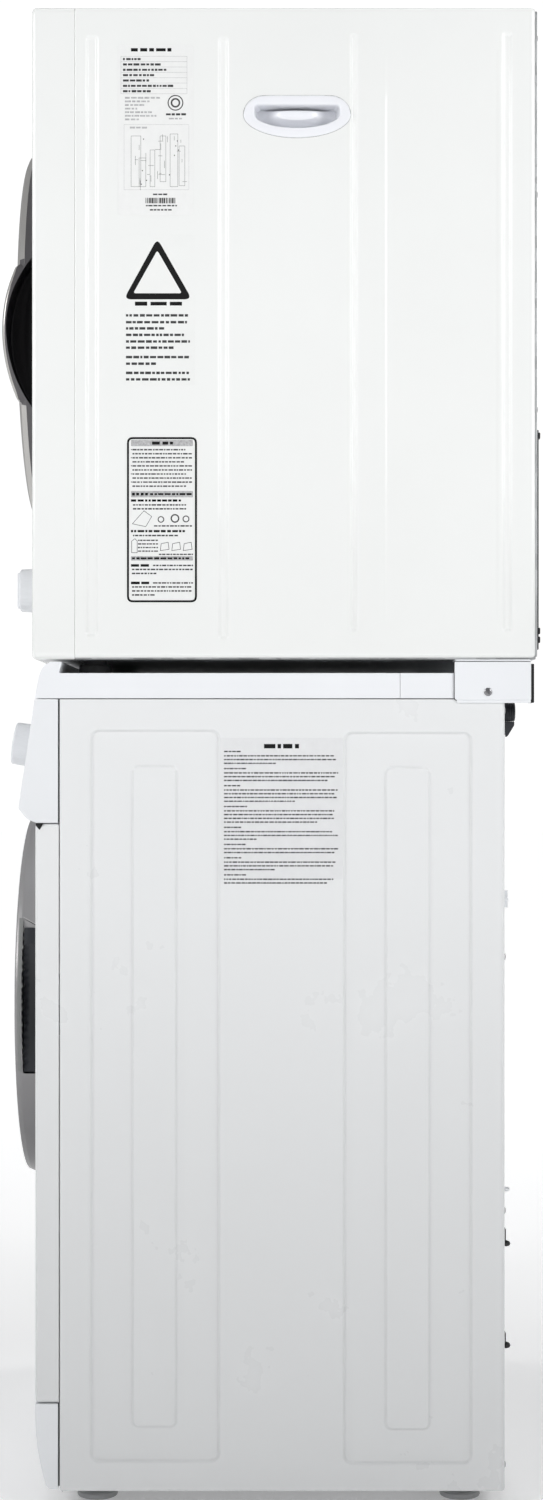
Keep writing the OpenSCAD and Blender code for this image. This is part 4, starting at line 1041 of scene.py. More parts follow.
def washer_door():
    prof = [(146, -251.5, 1), (150.5, -256.6, 1.5), (160, -261.2, 3), (185, -267.2, 8), (194, -268.4, 5), (199.4, -267.2, 2.2), (201.6, -262, 3), (201.6, -237.4, 1.2), (178.5, -237.4, 0.8),
            (178.5, -250, 1), (160, -251.5, 2), (154, -249.5, 1), (146, -249.5, 0.8)]
    base = Part().lathe(fillet(prof, 1.5, 4), 0, WZ, 192)
    cut = Part()

    def slot(g):
        return fillet([(427 - g, -228), (427 - g, -259.6 - g * 0.2, 3), (594 + g, -260.4 - g * 0.2, 1.2), (583 + g, -239.5, 3), (583 + g, -228)], 0.5, 5)
    cut.loft([[(x, y, z) for (z, y) in slot(g)] for x, g in ((177.0, -3.0), (180, -1.4), (186, -0.5), (197, 0.0), (212, 1.6))])
    b = carve(base, [cut])

    def on_cut(e):
        return all(v.co.x > 0.181 and v.co.y < -0.2378 for v in e.verts) and all(math.hypot(v.co.x, v.co.z - 0.496) > 0.1990 for v in e.verts)
    round_edges(b, 0.5, on_cut, 45, 2)
    for f in b.faces:
        c = f.calc_center_median()
        r = math.hypot(c.x, c.z - 0.496)
        if c.x > 0.17 and r < 0.2006 and c.y > -0.2604 and r > 0.1788 and 0.4262 < c.z < 0.5945 and not (c.y > -0.2385):
            f.material_index = 2
        elif r < 0.1985 and c.y < -0.25:
            f.material_index = 1
    emit(b, "washer_door_ring", [RING, RING_L, DARKP], "washer_door", ["washer_door_frame"], 32)

    def wave(z):
        return 0.62 * math.cos((z - 505) / 8.2 * 2 * math.pi) + 0.35 * math.cos((z - 500) / 21.0 * 2 * math.pi)

    # finger recess: dark ribbed liner
    P = Part()
    loops = []
    for k in range(151):
        z = 429.0 + (581.6 - 429.0) * k / 150
        rr = math.sqrt(max(0.0, 201.0 ** 2 - (z - WZ) ** 2))
        e = min(1.0, min(z - 429.0, 581.6 - z) / 9.0)
        x0 = min(186.4 - 3.2 * math.sin(math.pi * k / 150), rr - 3.0)
        q = min(1.0, (rr - 0.8 - x0) / 6.5)
        w = wave(z) * e
        loops.append([(x0 + 6.5 * q, -258.4 + w, z), (x0 + 4.2 * q, -257.0 + w, z), (x0 + 1.6 * q, -255.2 + w * 0.8, z), (x0 + 0.4 * q, -252, z), (x0, -240, z), (x0, -238.2, z), (x0 - 1.6, -238.2, z), (x0 - 2.2, -252, z), (x0, -258.4, z)])
    P.loft(loops)
    emit(P, "washer_door_grip", [DARKP], "washer_door", (), 40)
    # scalloped edging of the lip
    Q = Part()
    loops = []
    for k in range(161):
        z = 430.0 + (592.0 - 430.0) * k / 160
        rr = math.sqrt(max(0.0, 201.9 ** 2 - (z - WZ) ** 2))
        e = min(1.0, min(z - 430.0, 592.0 - z) / 8.0)
        w = wave(z) * e
        loops.append([(rr - 0.5, -264.6, z), (rr, -263.8, z), (rr, -261.2 + w, z), (rr - 0.35, -260.3 + w, z), (rr - 1.2, -259.9 + w, z), (rr - 5.0, -259.7 + w, z), (rr - 5.0, -262.8, z)])
    Q.loft(loops)
    emit(Q, "washer_grip_edging", LIP, "washer_door", (), 40)
    # bright end plate of the recess
    T = Part()
    T.tube([(math.sqrt(201.7 ** 2 - (593.0 - 1.12 * k - WZ) ** 2) - 0.05, -260.2 + 2.05 * k, 593.0 - 1.12 * k) for k in range(11)], 0.42, 8)
    emit(T, "washer_grip_end", RING_L, "washer_door", (), 40)

    # glass bowl
    g = [(0, -158.2), (30, -158.6), (60, -160.2), (84, -164.4), (100, -170.6), (113, -180), (122, -190.4), (129.5, -202), (135, -215.2), (138.6, -229), (141, -241.8, 0.5), (149.4, -242.2, 0.5), (149.6, -246.6, 0.8),
         (138.2, -246.9, 1.5), (134.6, -231), (130.4, -216.4), (124, -203), (117, -193.2), (108, -183), (96, -175), (80, -168.8), (58, -165), (30, -163.4), (0, -163)]
    gp = [(0, -158.2)] + [tuple(q[:2]) for q in g[1:-1]] + [(0, -163)]
    P = Part().lathe(gp, 0, WZ, 144)
    emit(P, "washer_door_bowl", GLASS, "washer_door", ["washer_door_glass"], 30)

    # inner ring with its hinge leaf, hook and screws
    P = Part().lathe(fillet([(144.6, -241.6), (198.4, -241.6), (198.4, -237.2), (190, -236.9), (186, -238.4), (158, -238.4), (154, -237.0), (144.6, -237.0)], 0.8, 3), 0, WZ, 160)
    keep = carve(P, [Part().box(178.2, 212, -262, -228, 423.6, 586.4), Part().box(-212, -159.6, -246, -234, 454, 538)])
    emit(keep, "washer_door_liner", PLA, "washer_door", ["washer_door_inner"], 30)
    H = Part()
    H.lathe([(5.5, 458), (5.5, 534), (4.1, 534), (4.1, 458)], -209, -240, 32, "z")
    H.box(-205, -160, -243.2, -237.8, 461, 531, 0.8)
    H.box(-177, -160, -243.2, -237.4, 457.5, 539, 0.8)
    for z in (470, 522):
        H.lathe([(0, -236.2), (2.4, -236.3), (3.4, -237.2), (3.4, -238.2), (0, -238.2)], -168, z, 24)
    H.box(173, 178, -242, -228, 496, 506, 0.5)
    H.box(173, 179, -230, -224, 496, 506, 0.8)
    H.box(168, 178.2, -241.7, -237.2, 480, 522, 0.6)
    emit(H, "washer_door_hinge", CAST, "washer_door", (), 30)


def gasket():
    def wob(a, r, y, j):
        # the lowest fold sags a little and carries the drain slots
        k = 0.5 * max(0.0, -math.sin(a)) ** 6
        return r + 0.15 * math.sin(a * 24) * (1 if 6 <= j <= 10 else 0) + k, y
    p = fillet([(155.2, -231.8, 1), (166, -231.8, 1.4), (166, -221, 0.6), (168.8, -219, 0.8), (168.8, -206, 1), (163, -203.5, 1), (163, -188.2, 0.6), (158.6, -188.2, 0.6),
                (158.6, -206, 1.2), (165.4, -209, 1), (165.4, -216, 1), (162, -218.5, 1), (162, -228, 1.4), (155.2, -228, 1)], 0.8, 3)
    emit(Part().lathe(p, 0, WZ, 180, wob=wob), "door_boot", RUBBER, "cabinets", ["door_gasket"], 30)


# ------------------------------------------------------------------ dryer door

def dryer_door():
    prof = [(151, -255.6, 1), (156, -260.6, 1.5), (168, -263.0, 3), (186, -264.8, 5), (199.5, -264.9, 3), (205.4, -262.2, 2.2), (209, -256.4, 1.2), (209, -242.0, 1.0), (158, -242.0, 0.8), (158, -253.0, 1), (151, -253.2, 0.8)]
    ring = Part().lathe(fillet(prof, 1.5, 4), 0, DZ, 216)
    # bowed handle: section swept by height, kept inside the ring's radius
    R, yc, zc = 178.95, -101.0, 1214.0
    zs = [1137 + 154 * i / 72 for i in range(73)]
    loops = []
    for z in zs:
        yf = yc - math.sqrt(R * R - (z - zc) ** 2)
        yf = min(yf, -262.6)
        w = smooth(min(1.0, min(z - 1137, 1291 - z) / 9.0))
        yf = yf * w - 258.5 * (1 - w)
        ro = math.sqrt((204.6 + 4.0 * w) ** 2 - (z - DZ) ** 2)
        ri = math.sqrt(max(1.0, 162.0 ** 2 - (z - DZ) ** 2))
        lead = max(0.0, -264.4 - yf)
        b = min(2.1, 0.9 + 0.25 * lead)
        lp = [(ro, -243.0, z), (ro, yf + b * 1.3, z), (ro - b * 0.22, yf + b * 0.7, z), (ro - b * 0.75, yf + b * 0.22, z), (ro - b * 1.6, yf, z)]
        span = (ro - b * 1.6) - ri
        for k in range(1, 15):
            t = k / 14
            fall = 0.05 * min(1.0, t / 0.62) + 0.95 * smooth((t - 0.62) / 0.38)
            lp.append((ro - b * 1.6 - span * t, yf + (lead + 1.2) * fall, z))
        lp.append((ri, -243.0, z))
        loops.append(lp)
    hand = Part().loft(loops)
    pocket = Part()
    for side in (0,):
        pocket.loft([[(x, -143.7 + (131.6 + g) * math.cos(a), zc + (131.6 + g) * math.sin(a)) for a in [math.radians(120 + 120 * k / 72) for k in range(73)]] +
                     [(x, -190, zc - 113), (x, -190, zc + 113)] for x, g in ((173.0, -3.2), (174.0, -1.6), (176.5, -0.4), (180.0, 0.0), (206.0, 0.0), (214, 1.8))])
    b = carve(ring, [pocket], [hand])

    def on_lip(e):
        ok = True
        for v in e.verts:
            r = math.hypot(v.co.x, v.co.z - 1.238)
            d = math.hypot(v.co.y + 0.1437, v.co.z - 1.214)
            ok = ok and r > 0.2065 and abs(d - 0.1316) < 0.0016 and v.co.x > 0.15
        return ok
    round_edges(b, 0.6, on_lip, 40, 2)
    for f in b.faces:
        c = f.calc_center_median()
        r = math.hypot(c.x, c.z - 1.238)
        d = math.hypot(c.y + 0.1437, c.z - 1.214)
        front = -0.101 - math.sqrt(max(0.0, 0.179 ** 2 - (c.z - 1.214) ** 2)) if abs(c.z - 1.214) < 0.075 and c.x > 0.12 else 0.0
        if c.x > 0.165 and d < 0.1322 and r < 0.2086 and abs(c.z - 1.214) < 0.1 and c.y > -0.2755:
            f.material_index = 2
        elif c.y < min(-0.2565, front + 0.0026 if front < -0.2626 else 0.0):
            f.material_index = 1
    emit(b, "dryer_door_ring", [DARKR, BEVEL, BLACKS], "dryer_door", ["dryer_door_frame"], 32)
    # the back of the pocket, glossy, with one bowed bead
    P = Part()
    loops = []
    for k in range(49):
        z = 1130.5 + 167 * k / 48
        half = math.sqrt(max(0.0, 131.2 ** 2 - (z - zc) ** 2))
        yb = max(-143.7 - half + 1.0, -274.6)
        lead = max(0.6, (-242.6 - yb))
        x0 = 172.6
        bul = 1.3 * math.sin(math.pi * min(1.0, max(0.0, (z - 1138) / 152)))
        lp = [(x0 + 0.4, yb, z)]
        for j in range(1, 12):
            t = j / 12
            g = math.exp(-((t - 0.62) / 0.09) ** 2) + 0.35 * math.exp(-((t - 0.3) / 0.05) ** 2)
            lp.append((x0 + 0.6 + bul * g, yb + lead * t, z))
        lp += [(x0 + 0.4, -242.8, z), (x0 - 2.4, -242.8, z), (x0 - 2.4, yb, z)]
        loops.append(lp)
    P.loft(loops)
    emit(P, "dryer_door_grip", BLACKS, "dryer_door", (), 40)
    # window
    w = [(0, -263), (40, -262.8), (60, -262.4), (86, -261.6), (110, -260.4), (132, -258.8), (146, -257.4), (149.6, -256.4, 1), (149.8, -252.9, 0.6), (157.2, -252.7, 0.5), (157.2, -246.2, 0.6), (145.4, -246, 0.8), (142.6, -238), (140, -231.4, 2), (120, -230.4), (60, -229.6), (0, -229.2)]
    emit(Part().lathe([q[:2] for q in w], 0, DZ, 160), "dryer_door_glass", BLACK, "dryer_door", ["dryer_door_window"], 30)
    # hinge leaf and knuckle
    H = Part()
    H.lathe([(5.5, 1200), (5.5, 1276), (4.1, 1276), (4.1, 1200)], -217, -245, 32, "z")
    H.box(-213, -172, -247.8, -243.2, 1203, 1273, 0.8)
    for z in (1212, 1264):
        H.lathe([(0, -240.4), (2.4, -240.5), (3.4, -241.2), (3.4, -242.2), (0, -242.2)], -176, z, 24)
    emit(H, "dryer_door_hinge", CAST, "dryer_door", (), 30)


# ------------------------------------------------------------------ controls

def fluted(P, r0, r1, h0, h1, M, flutes=24, depth=0.35, m=0, n=144, crown=2.2):
    """a knob body with shallow grip flutes, local +Z outwards"""
    prof = []
    for k in range(9):
        t = k / 8
        prof.append((r0 + (r1 - r0) * t, h0 + (h1 - crown - h0) * t))
    for k in range(1, 7):
        a = math.radians(90 * k / 6)
        prof.append((r1 - crown * (1 - math.cos(a)), h1 - crown * (1 - math.sin(a))))
    full = [(0, h0)] + prof + [(r1 * 0.5, h1 - 0.12), (0, h1 - 0.25)]

    def wob(a, r, y, j):
        t = smooth((y - h0 - 3) / 4) * smooth((h1 - 1.4 - y) / 4)
        return r - depth * t * (0.5 + 0.5 * math.cos(a * flutes)) if r > r1 * 0.8 else r, y
    P.lathe(full, 0, 0, n, "z", m, M, wob=wob)


def controls():
    # programme knob
    P = Part()
    M = on_fascia(170, 775)
    P.lathe(fillet([(0, -0.8), (23.6, -0.8, 0.2), (24.4, 0.2, 0.6), (24.0, 2.6, 0.8), (0, 2.6)][1:-1] + [(12, 2.6, 0), (12, -0.8, 0)], 0.5, 3), 0, 0, 120, "z", 0, M)
    fluted(P, 23.0, 22.4, 2.2, 27.4, M, 30, 0.28)
    P.box(-0.8, 0.8, 9, 20.4, 27.0, 27.46, 0.15, 1, M)
    emit(P, "programme_knob", [KNOB, INKG], "program_knob", ["program_knob"], 30)
    for x, nm, mt in ((20, "power_button", PLA), (80, "start_button", RING_L)):
        P = Part()
        M = on_fascia(x, 748)
        P.lathe([(0, -3.4), (8.7, -3.4), (8.8, 0.2), (8.5, 0.9), (7.9, 1.35), (7.0, 1.5), (4, 1.2), (0, 1.05)], 0, 0, 64, "z", 0, M)
        P.lathe(fillet([(1.9, 1.0), (2.5, 1.0), (2.5, 1.25), (1.9, 1.25)], 0.08, 2), 0, 0, 32, "z", 1, M)
        emit(P, nm + "_cap", [mt, INKG], nm, [nm], 30)
        Q = Part().lathe(fillet([(9.25, -1.2), (10.6, -1.2), (10.6, 0.35, 0.5), (9.25, 0.35, 0.3)], 0.2, 3), 0, 0, 64, "z", 0, M)
        emit(Q, nm + "_bezel", RING_L, "cabinets", (), 30)
    # timer knob on the dryer front
    P = Part()
    M = axis_to((190, -240, 941), (0, -1, 0))
    P.lathe(fillet([(10, 0.1, 0), (24.4, 0.1, 0.3), (24.5, 2.4, 0.8), (23.4, 3.4, 0.8), (10, 3.4, 0)], 0.5, 3), 0, 0, 120, "z", 0, M)
    fluted(P, 23.4, 22.6, 3.0, 21.6, M, 36, 0.25)
    P.loft([[(x * s, y * t, h) for x, y in rrect(-3.4, 3.4, -19.4, 19.4, 3.0, 5)] for h, s, t in ((20.8, 1.12, 1.0), (22.6, 1.06, 0.99), (24.3, 0.96, 0.97), (24.9, 0.80, 0.94))], m=0, M=M)
    P.box(-0.6, 0.6, 10, 18, 24.7, 24.98, 0, 1, M)
    emit(P, "timer_dial_knob", [KNOB, INK], "timer_knob", ["timer_knob"], 30)
    t = Part()
    for k in range(0, 23):
        a = math.radians(-75 - 330 * k / 22)
        L = 4.4 if k % 2 == 0 else 2.4
        t.box(29.6, 29.6 + L, -0.5 if k % 2 else -0.8, 0.5 if k % 2 else 0.8, -1.02, -0.93, 0, 0, M @ Matrix.Rotation(a, 4, "Z"))
    for k in range(3):
        t.box(-26 + k * 20, -14 + k * 20, -46.6, -44.8, -1.02, -0.93, 0, 0, M)
    emit(t, "timer_marks", INKG, "cabinets", ())
    # escutcheon behind the timer knob
    e = Part().lathe(fillet([(25.4, 0.2, 0), (28.2, 0.2, 0.0), (28.2, -1.4, 0), (25.4, -1.4, 0)], 0.2, 2), 0, 0, 96, "z", 0, axis_to((190, -238.4, 941), (0, -1, 0)))
    emit(e, "timer_escutcheon", RING_L, "cabinets", (), 30)


def drawer():
    # front that follows the fascia, with a scooped pull
    out = [(-236.6, 823.0), (-252.9, 713.7), (-240, 713.7), (-229, 823.0)]
    base = Part()
    n = 3

    def y_at(z, off=0.0):
        return -236.4 - (823.5 - z) * 0.15027 + off
    loops = []
    for k, (g, dy) in enumerate(((2.6, 6.0), (0.0, 6.0), (0.0, 1.3), (0.35, 0.5), (1.2, 0.05))):
        loops.append([(x, y_at(z, dy), z) for x, z in rrect(-283.2 + g, -106.8 - g, 724.8 + g, 807.2 - g, 5, 5)])
    base.loft(loops)
    scoop = Part()
    M = on_fascia(-195, 735)
    scoop.loft([[(x * s, y * s - 1.2 * (1 - s), h) for x, y in rrect(-36, 36, -9.5, 10.5, 8, 6)] for h, s in ((3, 1.10), (0.0, 1.0), (-1.6, 0.95), (-3.0, 0.86), (-4.0, 0.70))])
    scoop2 = Part()
    scoop2.add([tuple(v) for v in scoop.v], scoop.f, 0, M)
    b = carve(base, [scoop2])
    round_edges(b, 0.45, lambda e: all(v.co.z < 0.752 and v.co.z > 0.722 and abs(v.co.x + 0.195) < 0.05 for v in e.verts), 35, 2)
    emit(b, "drawer_front", PLA, "detergent_drawer", ["detergent_drawer"], 30)
    # tray with three wells
    t = Part()
    o = rrect(-281.6, -108.4, -229.5, -64.2, 5, 4)
    t.prism(o, "z", 737.4, 739.6, 0.5, 2)
    t.frame2(o, inset(o, 1.8), "z", 738.6, 794, 0.5)
    for x in (-196, -151):
        t.box(x - 0.9, x + 0.9, -230, -66, 738.6, 790, 0.4)
    for x0, x1 in ((-279, -197.5), (-194.5, -152.5), (-149.5, -111)):
        for k in range(3):
            yy = -200 + k * 46
            t.box(x0 + 3, x1 - 3, yy, yy + 1.6, 739.2, 741.0, 0.4)
    t.box(-150, -110, -150, -74, 776, 779.4, 1.0)
    for x in (-281.4, -108.6):
        t.box(x - 0.55, x + 0.55, -226, -70, 758, 762, 0.3)
    emit(t, "drawer_tray", PLA, "detergent_drawer", (), 30)


# ------------------------------------------------------------------ small hardware

def screw_mesh(r, h):
    """a pan-head screw with a cross recess, local +Z outwards, in millimetres"""
    head = Part().lathe([(0, 0), (r, 0), (r, h * 0.3), (r * 0.94, h * 0.62), (r * 0.76, h * 0.88), (r * 0.45, h), (0, h)], 0, 0, 28, "z")
    cross = []
    for a in (0, 90):
        c = Part()
        M = Matrix.Rotation(math.radians(a), 4, "Z")
        c.loft([[(x * s, y * (0.7 + 0.3 * s), z) for x, y in ((-r * 0.62, -r * 0.13), (r * 0.62, -r * 0.13), (r * 0.62, r * 0.13), (-r * 0.62, r * 0.13))] for z, s in ((h * 0.38, 0.35), (h * 1.05, 1.0))], M=M)
        cross.append(c)
    b = carve(head, cross)
    me = bpy.data.meshes.new("screw")
    b.to_mesh(me)
    b.free()
    return me


def screws():
    big, mid = screw_mesh(4.2, 2.0), screw_mesh(3.5, 1.8)
    P = Part()
    for s in (1, -1):
        P.mesh(big, 0, axis_to((s * 299.9, 225.4, 830.7), (s, 0, 0)) @ Matrix.Rotation(0.5, 4, "Z"))
    for x in (-200, 0, 200):
        for z in (84, 596):
            P.mesh(mid, 0, axis_to((x, 246.4, z), (0, 1, 0)) @ Matrix.Rotation(x * 0.01 + z, 4, "Z"))
        for z in (608.5, 798.5):
            P.mesh(mid, 0, axis_to((x, 249.4, z), (0, 1, 0)) @ Matrix.Rotation(x * 0.013 + z, 4, "Z"))
    for x in (-284, 284):
        for z in (40, 300, 560):
            P.mesh(mid, 0, axis_to((x, 243, z), (0, 1, 0)) @ Matrix.Rotation(x * 0.02 + z, 4, "Z"))
    P.mesh(mid, 0, axis_to((284, 243, 818 - 6), (0, 1, 0)))
    for x in (-285, 285):
        for z in (900, 1120, 1340, 1500):
            P.mesh(mid, 0, axis_to((x, 275.9, z), (0, 1, 0)) @ Matrix.Rotation(x * 0.03 + z, 4, "Z"))
    for x in (-232, 232):
        for z in (893, 1091):
            P.mesh(mid, 0, axis_to((x, 277.6, z), (0, 1, 0)) @ Matrix.Rotation(x * 0.04 + z, 4, "Z"))
    # screw heads on the stacking brackets and across the backs of both machines
    emit(P, "screw_heads", ZINC, "cabinets", ["screws"], 30)


def brackets():
    P = Part()
    for s in (1, -1):
        side = fillet([(191.4, 861.4, 0.6), (191.4, 822.4, 3.2), (269.3, 822.4, 0.6), (269.3, 861.4, 0.6)], 1, 5)
        x0, x1 = (298.5, 300.5) if s > 0 else (-300.5, -298.5)
        P.prism(side, "x", x0, x1, 0.5, 2)
        low = fillet([(193.5, 822.8, 0.5), (193.5, 819.5, 1.5), (269.0, 819.5, 0.6), (269.0, 822.8, 0.5)], 1, 4)
        P.prism(low, "x", *sorted((s * 298.0, s * 299.6)), 0.3, 2)
        a, c = (262.5, 299.0) if s > 0 else (-299.0, -262.5)
        P.prism(rrect(a, c, 191.8, 269.2, 3, 4), "z", 862.1, 863.9, 0.5, 2)
    emit(P, "stack_brackets", TOP, "cabinets", ["stacking_brackets"], 34)
    Q = Part()
    for s in (1, -1):
        a, c = (268.5, 299.8) if s > 0 else (-299.8, -268.5)
        Q.prism(rrect(a, c, 819.8, 859.4, 1.2, 3), "y", 269.3, 272.4, 0.5, 2)
        # a near-black foil showing a hair's width round each side bracket: painted shadow outline along its edges
        Q.prism(fillet([(190.7, 861.9, 0.5), (190.7, 821.7, 3.6), (269.4, 821.7, 0.5), (269.4, 861.9, 0.5)], 1, 5), "x", *sorted((s * 298.02, s * 298.75)), 0.1, 1)
    emit(Q, "bracket_pads_and_shadow_outline", DARK_TRIM_SHADE, "cabinets", (), 34)


def cup(yc, zt, w, h, rc, n=44):
    """opening of the grip: straight top with small corners, bowed underside, with a fixed point count"""
    side = 0.40 * h
    zm = zt - side
    pts = []
    for i in range(n):
        a = -math.pi * i / n
        pts.append((yc + w / 2 * math.cos(a), zm + (h - side) * math.sin(a)))
    pts.append((yc - w / 2, zm))
    for i in range(9):
        a = math.radians(180 - 90 * i / 8)
        pts.append((yc - w / 2 + rc + rc * math.cos(a), zt - rc + rc * math.sin(a)))
    for i in range(1, 12):
        pts.append((yc - w / 2 + rc + (w - 2 * rc) * i / 12, zt))
    for i in range(9):
        a = math.radians(90 - 90 * i / 8)
        pts.append((yc + w / 2 - rc + rc * math.cos(a), zt - rc + rc * math.sin(a)))
    return pts


def side_grips():
    P = Part()
    ref = cup(31, 1427.6, 86, 22.8, 3.2)
    cy, cz = 31.0, 1418.0

    def flange(w, h, zt):
        """the outer outline with the same points, found along rays from the middle"""
        d = dshape(31, zt, w, h, 16)
        out = []
        for y, z in ref:
            a = math.atan2(z - cz, y - cy)
            best = None
            for i in range(len(d)):
                p, q = d[i], d[(i + 1) % len(d)]
                ex, ey = q[0] - p[0], q[1] - p[1]
                dx, dz = math.cos(a), math.sin(a)
                det = dx * ey - dz * ex
                if abs(det) < 1e-9:
                    continue
                t = ((p[0] - cy) * ey - (p[1] - cz) * ex) / det
                u = ((p[0] - cy) * dz - (p[1] - cz) * dx) / det
                if t > 0 and -1e-6 <= u <= 1 + 1e-6:
                    best = t if best is None else max(best, t)
            out.append((cy + best * math.cos(a), cz + best * math.sin(a)))
        return out
    F0, F1, F2, F3 = flange(109.0, 42.8, 1437.6), flange(108.4, 42.2, 1437.3), flange(106.4, 40.4, 1436.4), flange(102.8, 37.0, 1434.8)
    for s in (1, -1):
        loops = []

        def lay(prof, x):
            loops.append([(s * x, y, z) for y, z in prof])
        lay(F0, 300.15)
        lay(F0, 300.6)
        lay(F1, 301.1)
        lay(F2, 301.45)
        lay(F3, 301.6)
        lay(cup(31, 1429.4, 89.6, 26.2, 4.6), 301.6)
        lay(cup(31, 1428.4, 87.6, 24.2, 3.8), 301.2)
        lay(ref, 300.0)
        # the walls slope in below, and stay straight at the top
        for t in (0.25, 0.5, 0.75, 1.0):
            lay(cup(31 + 0.0, 1427.6 + 0.8 * t, 86 - 5.0 * t, 22.8 - 5.0 * t * t, 3.2), 300.0 - 23.0 * t)
        outer = loops[-1]
        for sc in (0.86, 0.7, 0.54, 0.38, 0.2):
            q = []
            for pt in outer:
                y, z = cy + (pt[1] - cy) * sc, 1420.6 + (pt[2] - 1420.6) * sc
                u = (y - cy) / 40.5
                bow = 14.5 * max(0.0, 1 - abs(u) ** 2.6) * smooth((1 - sc) * 1.9)
                q.append((s * (277.0 + bow), y, z))
            loops.append(q)
        P.loft(loops, cap0=False, cap1=True)
        ol = []
        for x, w, h, zt in ((300.15, 109.0, 42.8, 1437.6), (298.6, 96.0, 32.0, 1432.0), (290.0, 91.0, 27.0, 1430.6), (276.0, 86.0, 22.0, 1430.6), (275.2, 80.0, 19.0, 1429.6)):
            ol.append([(s * x, y, z) for y, z in dshape(31, zt, w, h)])
        P.loft(ol, cap0=False, cap1=True)
    emit(P, "grip_cups", GRIP, "cabinets", ["side_grips"], 40)
    # a thin grey ring just outside each grip flange: painted shadow outline round the grips
    Q = Part()
    for s in (1, -1):
        o = dshape(31, 1438.0, 109.9, 43.7, 16)
        Q.frame2(o, inset(o, 2.6), "x", *sorted((s * 300.02, s * 300.24)), 0.06)
    return emit(Q, "grip_shadow_outline", INK_LIGHT_AND_SHADOW_LINE, "cabinets", (), 40)


# ------------------------------------------------------------------ back of the machine

